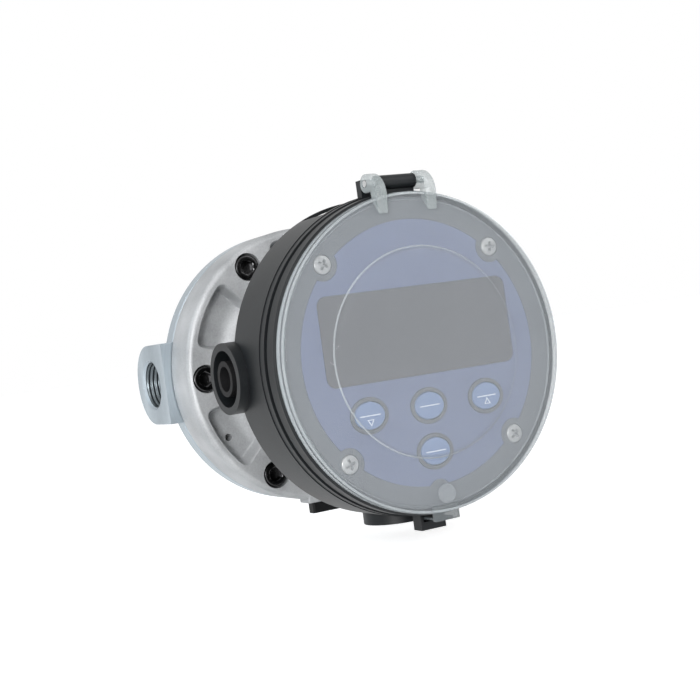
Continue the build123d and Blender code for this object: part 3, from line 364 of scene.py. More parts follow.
NODE_FINISHES: dict[str, Finish | ClearPlastic] = {
    "meter_body": MACHINED,
    "meter_cover": CAST,
    "cover_screws": BLACK_STEEL,
    "entry_cap": CAP,
    "display_neck": NECK,
    "boss_gasket": GASKET,
    "neck_gasket": GASKET,
    "neck_screws": ZINC,
    "housing_screws": ZINC,
    "display_housing": HOUSING,
    "left_grommet": RUBBER,
    "bottom_grommet": RUBBER,
    "fascia_seal": RUBBER,
    "fascia_plate": FASCIA,
    "label_panel": LABEL,
    "lcd_window": WINDOW,
    "lcd_module": WINDOW,
    "main_board": BOARD,
    "key_switches": CHIP,
    "key_left": KEY,
    "key_middle": KEY,
    "key_right": KEY,
    "key_bottom": KEY,
    "fascia_screws": ZINC,
    "battery_tray": CAP,
    "battery_cells": CELL,
    "terminal_block": TERMINAL,
    "hinge_pin": GROUND,
    "weather_cover": COVER,
    "body_o_ring": RUBBER,
    "upper_shaft": GROUND,
    "lower_shaft": GROUND,
    "upper_gear": GEAR,
    "lower_gear": GEAR,
    "upper_bush": CAP,
    "lower_bush": CAP,
    "gear_magnets": GROUND,
    "sensor_board": BOARD,
    "hall_sensors": CHIP,
    "sensor_lead": WIRE,
}


def dress(piece: bpy.types.Object, finish: Finish | ClearPlastic) -> None:
    """Give every face of a piece one finish.

    Args:
        piece: The object.
        finish: What it is dressed in.
    """
    piece.data.materials.clear()
    piece.data.materials.append(finish.build())
    slots = np.zeros(len(piece.data.polygons), dtype=np.int32)
    piece.data.polygons.foreach_set("material_index", slots)


@dataclass
class Surface:
    """Points in millimetres and the faces between them, before they become a mesh."""

    points: np.ndarray
    faces: list[list[int]]


def placed(surface: Surface, x: float, z: float) -> Surface:
    """Carry a surface that was drawn about the Y axis to another x and z.

    Args:
        surface: The surface about the Y axis.
        x: Its new middle along X, in millimetres.
        z: Its new middle along Z, in millimetres.

    Returns:
        The moved copy.
    """
    return Surface(surface.points + np.array([x, 0.0, z]), surface.faces)


def joined(parts: Sequence[Surface]) -> Surface:
    """Put several surfaces into one, each still closed by itself.

    Args:
        parts: The surfaces.

    Returns:
        One surface with all their points and faces.
    """
    faces: list[list[int]] = []
    shift = 0
    for part in parts:
        faces += [[index + shift for index in face] for face in part.faces]
        shift += len(part.points)
    return Surface(np.concatenate([part.points for part in parts]), faces)


def grid(points: np.ndarray, wrap_u: bool = False, wrap_v: bool = False) -> Surface:
    """Quads over an array of points: each joins (u, v), (u+1, v), (u+1, v+1) and (u, v+1).

    Args:
        points: An array of shape (u, v, 3) in millimetres.
        wrap_u: Whether the last row joins the first.
        wrap_v: Whether the last column joins the first.

    Returns:
        The surface.
    """
    rows, columns = points.shape[:2]
    numbers = np.arange(rows * columns).reshape(rows, columns)
    if wrap_u:
        numbers = np.concatenate([numbers, numbers[:1]], axis=0)
    if wrap_v:
        numbers = np.concatenate([numbers, numbers[:, :1]], axis=1)
    quads = np.stack(
        [numbers[:-1, :-1], numbers[1:, :-1], numbers[1:, 1:], numbers[:-1, 1:]], axis=-1
    )
    return Surface(points.reshape(-1, 3), quads.reshape(-1, 4).tolist())


def polar(radius: np.ndarray, y: np.ndarray, turn: np.ndarray) -> np.ndarray:
    """Points about the Y axis: x = r cos t, z = r sin t.

    Args:
        radius: Distances from the axis in millimetres.
        y: Places along the axis, of a shape that spreads over the others'.
        turn: Angles from +X towards +Z in radians.

    Returns:
        The points, with x, y and z along the last axis.
    """
    x = radius * np.cos(turn)
    return np.stack([x, np.broadcast_to(y, x.shape), radius * np.sin(turn)], axis=-1)


def on_circle(radius: float, degrees: float) -> np.ndarray:
    """The (x, z) place at an angle from +X towards +Z on a circle about the Y axis."""
    angle = math.radians(degrees)
    return radius * np.array([math.cos(angle), math.sin(angle)])


def rounded(
    corners: Sequence[tuple[float, float, float]], closed: bool = True, steps: int = 5
) -> np.ndarray:
    """A profile whose corners are arcs of their own radius.

    Each arc meets both sides at radius / tan(half the corner) from the corner, and a guard
    point just past each end keeps the flats beside it flat under smooth shading.

    Args:
        corners: Points as (a, b, radius) in millimetres.
        closed: Whether the last corner joins the first.
        steps: Arc segments per corner.

    Returns:
        An array of (a, b) points.
    """
    places = np.array([corner[:2] for corner in corners], float)
    made: list[np.ndarray] = []
    count = len(corners)
    for index, (_, _, radius) in enumerate(corners):
        here = places[index]
        end = not closed and index in (0, count - 1)
        before, after = places[index - 1] - here, places[(index + 1) % count] - here
        reach_before, reach_after = np.linalg.norm(before), np.linalg.norm(after)
        if end or radius <= 0 or min(reach_before, reach_after) == 0:
            made.append(here[None])
            continue
        before, after = before / reach_before, after / reach_after
        half = math.acos(float(np.clip(before @ after, -1, 1))) / 2
        run = radius / math.tan(half)
        limit = CORNER_REACH * min(reach_before, reach_after)
        if run > limit:
            radius, run = radius * limit / run, limit
        middle = (before + after) / np.linalg.norm(before + after)
        centre = here + middle * radius / math.sin(half)
        start, stop = here + before * run - centre, here + after * run - centre
        sweep = math.pi - 2 * half
        share = np.linspace(0, 1, steps + 1)[:, None]
        arc = (np.sin((1 - share) * sweep) * start + np.sin(share * sweep) * stop) / math.sin(sweep)
        guard = min(GUARD_MM, GUARD_SHARE * min(reach_before, reach_after))
        made.append(here[None] + before * (run + guard))
        made.append(centre + arc)
        made.append(here[None] + after * (run + guard))
    return np.concatenate(made)


def revolved(profile: np.ndarray, segments: int = 192, closed: bool = True) -> Surface:
    """Turn a profile of (radius, y) once about the Y axis: x = r cos t, z = r sin t.

    Args:
        profile: The (radius, y) points in millimetres.
        segments: Steps round the turn.
        closed: Whether the profile's last point joins its first.

    Returns:
        The surface.
    """
    turn = np.radians(np.linspace(0, 360, segments + 1))[:-1, None]
    return grid(polar(profile[None, :, 0], profile[:, 1], turn), wrap_u=True, wrap_v=closed)


def prism(outline: np.ndarray, low: float, high: float) -> Surface:
    """Carry an outline of (y, z) points along X from low to high, and close both ends.

    Args:
        outline: The (y, z) points in millimetres.
        low: First X.
        high: Last X.

    Returns:
        The closed surface.
    """
    count = len(outline)
    ends = np.array([low, high])
    points = np.empty((2, count, 3))
    points[:, :, 0] = ends[:, None]
    points[:, :, 1:] = outline[None]
    surface = grid(points, wrap_v=True)
    surface.faces += [list(range(count)), list(range(count, 2 * count))]
    return surface


def plate(outline: np.ndarray, rear: float, front: float) -> Surface:
    """Carry an outline of (x, z) points along Y from rear to front, and close both ends.

    Args:
        outline: The (x, z) points in millimetres.
        rear: First Y.
        front: Last Y.

    Returns:
        The closed surface.
    """
    turned = prism(outline, rear, front)
    return Surface(turned.points[:, [1, 0, 2]], turned.faces)


def box(low: Sequence[float], high: Sequence[float]) -> Surface:
    """A block between two corners, for the base of a bevelled piece.

    Args:
        low: Lowest x, y, z in millimetres.
        high: Highest x, y, z in millimetres.

    Returns:
        The closed surface.
    """
    outline = np.array([(low[1], low[2]), (high[1], low[2]), (high[1], high[2]), (low[1], high[2])])
    return prism(outline, low[0], high[0])


def piece(
    name: str,
    surface: Surface,
    finish: Finish | ClearPlastic,
    body: str,
    replaces: Sequence[str] = (),
    bevel_mm: float = 0.0,
    crease_degrees: float = 35.0,
    cut: Surface | None = None,
) -> bpy.types.Object:
    """Make a finished piece of a surface and let it ride on a body.

    Args:
        name: The piece's name.
        surface: Its points and faces, in millimetres in the part's own frame.
        finish: What it is dressed in.
        body: The body that carries it.
        replaces: CAD nodes that it stands for.
        bevel_mm: Width of the rounding along its sharp edges.
        crease_degrees: Edges sharper than this stay sharp.
        cut: A closed surface that is taken out of it.

    Returns:
        The object, at the origin, unturned and unscaled.
    """
    made = raw_object(name, surface)
    if cut is not None:
        cutter = raw_object(name + "_cutter", cut)
        carve = made.modifiers.new("cut", "BOOLEAN")
        carve.object = cutter
        carve.operation = "DIFFERENCE"
        carve.solver = "EXACT"
        apply_modifiers(made)
        bpy.data.objects.remove(cutter)
    if bevel_mm > 0:
        edge = made.modifiers.new("edge", "BEVEL")
        edge.width = bevel_mm * MM
        edge.segments = BEVEL_STEPS
        edge.limit_method = "ANGLE"
        edge.angle_limit = math.radians(BEVEL_DEGREES)
        apply_modifiers(made)
    made.data.shade_smooth()
    made.data.set_sharp_from_angle(angle=math.radians(crease_degrees))
    dress(made, finish)
    if replaces:
        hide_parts(*replaces)
    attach(made, body)
    LOG.info("%s: %d faces on %s", name, len(made.data.polygons), body)
    return made


def raw_object(name: str, surface: Surface) -> bpy.types.Object:
    """Turn a surface into an object in metres, with doubles merged and faces outward.

    Args:
        name: The object's name.
        surface: Its points and faces in millimetres.

    Returns:
        The object, linked to the scene.
    """
    mesh = bpy.data.meshes.new(name)
    mesh.from_pydata((surface.points * MM).tolist(), [], surface.faces)
    work = bmesh.new()
    work.from_mesh(mesh)
    bmesh.ops.remove_doubles(work, verts=work.verts, dist=MERGE_MM * MM)
    bmesh.ops.recalc_face_normals(work, faces=work.faces)
    work.to_mesh(mesh)
    work.free()
    made = bpy.data.objects.new(name, mesh)
    bpy.context.scene.collection.objects.link(made)
    return made


def apply_modifiers(made: bpy.types.Object) -> None:
    """Replace an object's mesh by the one that its modifiers give.

    Args:
        made: The object, whose modifiers are then cleared.
    """
    shape = bpy.data.meshes.new_from_object(
        made.evaluated_get(bpy.context.evaluated_depsgraph_get())
    )
    made.modifiers.clear()
    made.data = shape


@dataclass
class CadNodes:
    """The nodes that keep their own shape: welded and smoothed by modifiers, and dressed."""

    finishes: dict[str, Finish | ClearPlastic]
    crease_degrees: float = 28.0
    weld_mm: float = 0.002

    def build(self) -> None:
        """Dress every node and smooth its shading across curved faces."""
        for name, finish in self.finishes.items():
            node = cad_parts[name]
            dress(node, finish)
            smooth = np.ones(len(node.data.polygons), dtype=bool)
            node.data.polygons.foreach_set("use_smooth", smooth)
            weld = node.modifiers.new("weld", "WELD")
            weld.merge_threshold = self.weld_mm * MM
            crease = node.modifiers.new("crease", "EDGE_SPLIT")
            crease.split_angle = math.radians(self.crease_degrees)
            crease.use_edge_sharp = False
            LOG.info("dressed %s as %s", name, finish.name)


@dataclass
class WeatherCover:
    """The clear flip-up cover: a moulded bowl with a raised circle, two ears and a tab."""

    radius: float = 57.5
    rear: float = -136.8
    front: float = -140.2
    face: float = -140.7
    step_radius: float = 36.6
    step_width: float = 1.5
    step_front: float = -142.5
    wall: float = 1.9
    rim_wall: float = 2.4
    edge_radius: float = 1.1
    outer_fillet: float = 0.8
    inner_fillet: float = 0.6
    corner_fillet: float = 0.7
    rim_fillet: float = 0.2
    skin: float = 0.12
    bowl_segments: int = 256
    pip_drop: float = 50.9
    pip_radius: float = 2.1
    pip_ring: float = 3.4
    pip_depth: float = 0.6
    pip_rise: float = 0.5
    ring_rise: float = 0.3
    ring_fillet: float = 0.15
    ring_edge: float = 0.1
    pip_segments: int = 48
    hinge: tuple[float, float] = (-133.5, 62.0)
    lobe_radius: float = 3.4
    pin_radius: float = 1.25
    ear_inner: float = 8.1
    ear_outer: float = 12.3
    ear_bevel: float = 0.5
    nose: tuple[float, float] = (-141.5, 57.2)
    rib_foot: float = 50.0
    tab_half_width: float = 5.25
    tab_reach: float = 60.6
    tab_thickness: float = 2.0
    tab_bevel: float = 0.45
    hook_half_width: float = 3.25
    hook_thickness: float = 1.0
    hook_rear: float = -125.9
    hook_root: float = 0.3
    hook_bevel: float = 0.2

    def bowl(self) -> Surface:
        """The bowl: one rounded profile, inside and out, turned about the Y axis.

        Returns:
            The closed surface.
        """
        foot = self.step_radius + self.step_width
        inner = self.radius - self.rim_wall
        profile = rounded(
            [
                (0.0, self.step_front, 0.0),
                (self.step_radius, self.step_front, self.outer_fillet),
                (foot, self.face, self.inner_fillet),
                (self.radius, self.front, self.edge_radius),
                (self.radius, self.rear, self.rim_fillet),
                (inner, self.rear, self.rim_fillet),
                (inner, self.front + self.wall, self.corner_fillet),
                (foot, self.face + self.wall, self.outer_fillet),
                (self.step_radius, self.step_front + self.wall, self.inner_fillet),
                (0.0, self.step_front + self.wall, 0.0),
            ],
            closed=False,
        )
        return revolved(profile, self.bowl_segments, closed=False)

    def highlight_bands(self) -> Surface:
        """Thin skins of painted highlight where the plastic is seen edge-on: the rim's walls, its
        edge and the step.

        Each is a slanted strip (radius, y) to (radius, y), set off from the bowl's own faces by
        a few hundredths to tenths so that the two never lie in one plane.

        Returns:
            The closed surfaces.
        """
        inner = self.radius - self.rim_wall
        foot = self.step_radius + self.step_width
        strips = [
            ((self.radius + 0.02, self.rear), (self.radius + 0.02, self.front + 0.9)),
            ((self.radius - 0.3, self.front + 0.1), (self.radius - 1.0, self.front - 0.12)),
            ((inner - 0.1, self.rear - 0.1), (inner - 0.1, self.front + self.wall + 0.3)),
            ((foot - 0.5, self.face - 0.55), (foot - 0.12, self.face - 0.1)),
        ]
        made = []
        for (r_0, y_0), (r_1, y_1) in strips:
            back = [(r_1 - self.skin, y_1), (r_0 - self.skin, y_0)]
            made.append(revolved(np.array([(r_0, y_0), (r_1, y_1), *back])))
        return joined(made)

    def pip(self) -> Surface:
        """A moulded button with a low ring round it, turned about its own axis.

        Returns:
            The closed surface.
        """
        base, top = self.face + self.pip_depth, self.face - self.pip_rise
        crown = self.face - self.ring_rise
        profile = rounded(
            [
                (0.0, top, 0.0),
                (self.pip_radius, top, self.ring_rise),
                (self.pip_radius + 0.2, self.face, self.ring_fillet),
                (self.pip_ring - 0.5, self.face, self.ring_fillet),
                (self.pip_ring - 0.3, crown, self.ring_edge),
                (self.pip_ring, crown, self.ring_edge),
                (self.pip_ring + 0.1, base, 0.0),
                (0.0, base, 0.0),
            ],
            closed=False,
            steps=3,
        )
        button = revolved(profile, self.pip_segments, closed=False)
        return placed(button, 0.0, -self.pip_drop)

    def ear(self, low: float) -> Surface:
        """One ear: a half circle round the pin, a quarter ellipse to the nose, and a rib down.

        Args:
            low: Its lowest X.

        Returns:
            The closed surface.
        """
        y, z = self.hinge
        back = np.radians(np.linspace(-90, 90, 17))
        lobe = np.array([y, z]) + self.lobe_radius * np.stack([np.cos(back), np.sin(back)], -1)
        bow = np.radians(np.linspace(5, 90, 18))
        reach, rise = y - self.nose[0], z + self.lobe_radius - self.nose[1]
        crown = np.stack([y - reach * np.sin(bow), self.nose[1] + rise * np.cos(bow)], -1)
        foot = [
            (self.face, self.rib_foot),
            (self.rear, self.radius - self.rim_wall),
            (self.rear, z - self.lobe_radius),
        ]
        outline = np.concatenate([lobe, crown, foot])
        return prism(outline, low, low + self.ear_outer - self.ear_inner)

    def pin_hole(self) -> Surface:
        """The pin's hole, carried along X through both ears.

        Returns:
            The closed surface.
        """
        turn = np.radians(np.arange(0, 360, 15))
        circle = np.stack([np.cos(turn), np.sin(turn)], -1)
        ring = np.array(self.hinge) + self.pin_radius * circle
        return prism(ring, -self.ear_outer - 1.0, self.ear_outer + 1.0)

    def build(self) -> None:
        """Make the bowl, the ears and the tab with its hook."""
        piece("cover_bowl", self.bowl(), COVER, "weather_cover", ["weather_cover"])
        piece("cover_pip", self.pip(), COVER, "weather_cover")
        # Painted highlights: light skins along the rim, its edge and the step
        piece("cover_painted_highlights", self.highlight_bands(), RIM_HIGHLIGHT, "weather_cover")
        for side, low in (("left", -self.ear_outer), ("right", self.ear_inner)):
            piece(
                f"cover_ear_{side}",
                self.ear(low),
                FROSTED,
                "weather_cover",
                bevel_mm=self.ear_bevel,
                cut=self.pin_hole(),
            )
        inner = self.radius - self.rim_wall
        tab = box(
            (-self.tab_half_width, self.rear - self.tab_thickness, -self.tab_reach),
            (self.tab_half_width, self.rear, -inner),
        )
        piece("cover_tab", tab, TAB, "weather_cover", bevel_mm=self.tab_bevel)
        hook = box(
            (-self.hook_half_width, self.rear - self.hook_root, -self.tab_reach),
            (self.hook_half_width, self.hook_rear, -self.tab_reach + self.hook_thickness),
        )
        piece("cover_hook", hook, TAB, "weather_cover", bevel_mm=self.hook_bevel)


@dataclass
class CastCover:
    """The cast cover: a boss with a swept foot, drafted pockets between the screws and a pad."""

    radius: float = 56.5
    joint: float = -33.0
    face: float = -51.5
    edge_radius: float = 2.4
    edge_break: float = 0.7
    boss_radius: float = 33.0
    boss_front: float = -60.5
    boss_sweep: float = 8.0
    floor: float = -44.5
    floor_radius: float = 43.0
    rise_radius: float = 10.0
    rim_radius: float = 52.9
    half_angle: float = 15.9
    corner: float = 3.4
    draft: float = 2.1
    pockets: tuple[float, ...] = (-30.0, 30.0, 90.0, 150.0, 210.0)
    cavity_radius: float = 20.0
    cavity_floor: float = -41.0
    step_radius: float = 17.5
    step_floor: float = -37.5
    screw_count: int = 6
    screw_circle: float = 49.0
    bore_radius: float = 5.7
    bore_floor: float = -44.9
    bore_segments: int = 64
    hole_radius: float = 3.2
    small_count: int = 4
    small_first: float = 45.0
    small_circle: float = 25.6
    small_radius: float = 2.0
    small_depth: float = 6.0
    small_step: float = 7.5
    drill_start: float = 2.0
    drill_through: float = 1.0
    drain: tuple[float, float, float, float] = (47.3, 211.6, 1.5, -38.5)
    pad_half_width: float = 11.5
    pad_base: float = 57.0
    pad_y: tuple[float, float] = (-51.1, -42.1)
    pad_bevel: float = 0.4
    columns: int = 720
    row_mm: float = 0.35
    roll_rows: int = 9
    row_gap: float = 0.01

    def front_height(self, radius: np.ndarray, angle: np.ndarray) -> np.ndarray:
        """Y of the front surface outside the boss.

        The land is flat, sweeps up to the boss and rolls over at the rim. Inside a pocket the
        floor is flat and rises to the boss in a cove. Both blend by a smooth step over the
        draft, by the distance in from the pocket's sides, whose corners are round.

        Args:
            radius: Distance from the Y axis in millimetres.
            angle: Angle from +X towards +Z in radians.

        Returns:
            Y in millimetres.
        """
        sweep = np.clip(self.boss_radius + self.boss_sweep - radius, 0, self.boss_sweep)
        land = self.face - self.boss_sweep + np.sqrt(self.boss_sweep**2 - sweep**2)
        roll = np.clip(radius - (self.radius - self.edge_radius), 0, self.edge_radius)
        land = land + self.edge_radius - np.sqrt(self.edge_radius**2 - roll**2)
        rise = np.clip(self.floor_radius - radius, 0, self.rise_radius)
        pocket = self.floor - self.rise_radius + np.sqrt(self.rise_radius**2 - rise**2)
        share = np.zeros_like(radius)
        for middle in self.pockets:
            away = np.abs(np.mod(angle - math.radians(middle) + math.pi, 2 * math.pi) - math.pi)
            side = radius * (math.radians(self.half_angle) - away)
            end = self.rim_radius - radius
            near_side, near_end = (np.clip(self.corner - gap, 0, None) for gap in (side, end))
            step = np.clip((self.corner - np.hypot(near_side, near_end)) / self.draft, 0, 1)
            share = np.maximum(share, step**2 * (3 - 2 * step))
        return land + share * (pocket - land)

    def shell(self) -> Surface:
        """The closed polar grid, from the cavity's middle over the front to the joint face.

        Returns:
            The closed surface.
        """
        turn = np.arange(self.columns) * 2 * math.pi / self.columns
        before = [
            (0.0, self.step_floor),
            (self.step_radius, self.step_floor),
            (self.step_radius, self.cavity_floor),
            (self.cavity_radius, self.cavity_floor),
            (self.cavity_radius, self.boss_front),
            (self.boss_radius - self.edge_break, self.boss_front),
            (self.boss_radius - self.row_gap, self.boss_front + self.edge_break),
        ]
        after = [
            (self.radius, self.joint - self.edge_break),
            (self.radius - self.edge_break, self.joint),
            (0.0, self.joint),
        ]
        roll = np.radians(np.linspace(0, 90, self.roll_rows))
        rolled = self.radius - self.edge_radius * (1 - np.sin(roll))
        reach = np.concatenate([np.arange(self.boss_radius, rolled[0], self.row_mm), rolled])
        radius, angle = np.meshgrid(reach, turn, indexing="ij")
        height = self.front_height(radius, angle)
        inside, outside = (
            np.array(rows)[:, :, None] * np.ones(self.columns) for rows in (before, after)
        )
        radius = np.concatenate([inside[:, 0], radius, outside[:, 0]])
        height = np.concatenate([inside[:, 1], height, outside[:, 1]])
        return grid(polar(radius, height, turn), wrap_v=True)

    def holes(self) -> Surface:
        """Everything that is drilled: counterbores, screw holes, tapped holes and the drain.

        Returns:
            Their closed surfaces, to be cut out.
        """
        ring = np.radians(np.arange(0, 360, self.small_step))
        circle = np.stack([np.cos(ring), np.sin(ring)], -1)
        high, through = self.boss_front - self.drill_start, self.joint + self.drill_through
        profile = np.array(
            [
                (0.0, high),
                (self.bore_radius, high),
                (self.bore_radius, self.bore_floor),
                (self.hole_radius, self.bore_floor),
                (self.hole_radius, through),
                (0.0, through),
            ]
        )
        bore = revolved(profile, self.bore_segments, closed=False)
        made = []
        for number in range(self.screw_count):
            spot = on_circle(self.screw_circle, 360 / self.screw_count * number)
            made.append(placed(bore, spot[0], spot[1]))
        bottom = self.boss_front + self.small_depth
        for number in range(self.small_count):
            spot = on_circle(self.small_circle, self.small_first + 360 / self.small_count * number)
            made.append(plate(circle * self.small_radius + spot, bottom, high))
        orbit, angle, radius, bottom = self.drain
        made.append(plate(circle * radius + on_circle(orbit, angle), bottom, high))
        return joined(made)

    def build(self) -> None:
        """Make the cover and its pad."""
        piece("cast_cover", self.shell(), CAST, "meter", ["meter_cover"], cut=self.holes())
        pad = box(
            (-self.pad_half_width, self.pad_y[0], -self.pad_base),
            (self.pad_half_width, self.pad_y[1], -self.screw_circle),
        )
        piece("cast_pad", pad, CAST, "meter", bevel_mm=self.pad_bevel)


@dataclass
class SocketScrews:
    """The six socket head screws of the cast cover."""

    count: int = 6
    circle: float = 49.0
    front: float = -50.9
    seat: float = -44.9
    tip: float = -28.4
    head_radius: float = 5.0
    shank_radius: float = 2.95
    socket: float = 5.0
    socket_depth: float = 3.2
    columns: int = 72

    def one(self) -> Surface:
        """One screw about the Y axis: rows of (share of the hexagon, round radius, y).

        A row's radius is share times the hexagon's reach, half the socket over the cosine of
        the angle from the nearest flat's middle, plus its round radius. The first rows are the
        socket, the middle ones round the head's edge over in 0.7 mm, the last are the shank.

        Returns:
            The closed surface.
        """
        turn = np.radians(np.arange(self.columns) * 360 / self.columns)
        flat = np.mod(turn + math.pi / 6, math.pi / 3) - math.pi / 6
        hexagon = self.socket / 2 / np.cos(flat)
        floor = self.front + self.socket_depth
        rows = [
            (0.0, 0.0, floor + 0.5),
            (0.9, 0.0, floor),
            (1.0, 0.0, floor),
            (1.0, 0.0, self.front + 0.35),
            (1.0, 0.3, self.front + 0.05),
            (0.6, 1.6, self.front),
            (0.0, self.head_radius - 0.7, self.front),
            (0.0, self.head_radius - 0.55, self.front + 0.02),
            (0.0, self.head_radius - 0.2, self.front + 0.2),
            (0.0, self.head_radius - 0.02, self.front + 0.55),
            (0.0, self.head_radius, self.front + 0.7),
            (0.0, self.head_radius, self.seat),
            (0.0, self.shank_radius, self.seat),
            (0.0, self.shank_radius, self.tip - 0.6),
            (0.0, self.shank_radius - 0.6, self.tip),
            (0.0, 0.0, self.tip),
        ]
        share, radius, y = (np.array(column)[:, None] for column in zip(*rows))
        reach = share * hexagon[None] + radius
        return grid(polar(reach, y, turn), wrap_v=True)

    def build(self) -> None:
        """Make the screws as one piece."""
        one = self.one()
        angles = np.arange(self.count) * 2 * math.pi / self.count
        all_of_them = [
            placed(one, self.circle * math.cos(a), self.circle * math.sin(a)) for a in angles
        ]
        piece("socket_screws", joined(all_of_them), BLACK_STEEL, "meter", ["cover_screws"])


@dataclass
class CrossScrews:
    """The four cross-head screws of the fascia, each driven home at its own angle."""

    offset: float = 34.9
    front: float = -137.1
    seat: float = -135.5
    tip: float = -127.5
    head_radius: float = 3.5
    shank_radius: float = 1.35
    slot_length: float = 4.0
    slot_width: float = 1.1
    slot_depth: float = 1.3
    slot_side: float = 0.18
    slot_end: float = 0.7
    dome: float = 0.5
    edge_share: float = 0.85
    edge_band: float = 0.15
    fine_to: float = 2.6
    fine_step: float = 0.1
    coarse_from: float = 2.7
    coarse_rows: int = 8
    crease_degrees: float = 50.0
    turns: tuple[float, ...] = (18.0, 64.0, 41.0, 83.0)

    def one(self, turn: float) -> Surface:
        """One screw about the Y axis: a domed head with a cross sunk into it.

        The dome falls by its height times the square of the share of its radius, and as much
        again over the edge's band; each arm of the cross sinks with the distance to its sides,
        up to the slot's depth.

        Args:
            turn: Angle of the cross in degrees.

        Returns:
            The closed surface.
        """
        fine = np.arange(0, self.fine_to, self.fine_step)
        coarse = np.linspace(self.coarse_from, self.head_radius, self.coarse_rows)
        radii = np.concatenate([fine, coarse])
        angles = np.radians(np.arange(0, 360, ROUND_STEP_DEGREES))
        radius, angle = np.meshgrid(radii, angles, indexing="ij")
        x, z = radius * np.cos(angle), radius * np.sin(angle)
        share = np.clip(radius / self.head_radius, 0, 1)
        edge = np.clip((share - self.edge_share) / self.edge_band, 0, 1)
        height = self.front + self.dome * share**2 + self.dome * edge**3
        cosine, sine = math.cos(math.radians(turn)), math.sin(math.radians(turn))
        a, b = x * cosine + z * sine, z * cosine - x * sine
        sunk = np.zeros_like(x)
        for along, across in ((a, b), (b, a)):
            side = np.clip((self.slot_width / 2 - np.abs(across)) / self.slot_side, 0, 1)
            end = np.clip((self.slot_length / 2 - np.abs(along)) / self.slot_end, 0, 1)
            sunk = np.maximum(sunk, self.slot_depth * side * end)
        top = np.stack([x, height + sunk, z], axis=-1)
        lower = [
            (self.head_radius, self.seat),
            (self.shank_radius, self.seat),
            (self.shank_radius, self.tip),
            (0.0, self.tip),
        ]
        rest = np.array([[(r * math.cos(t), y, r * math.sin(t)) for t in angles] for r, y in lower])
        return grid(np.concatenate([top, rest]), wrap_v=True)

    def build(self) -> None:
        """Make the screws as one piece."""
        corners = [(x, z) for x in (-self.offset, self.offset) for z in (-self.offset, self.offset)]
        made = [placed(self.one(turn), x, z) for turn, (x, z) in zip(self.turns, corners)]
        piece(
            "cross_screws",
            joined(made),
            ZINC,
            "meter",
            ["fascia_screws"],
            crease_degrees=self.crease_degrees,
        )


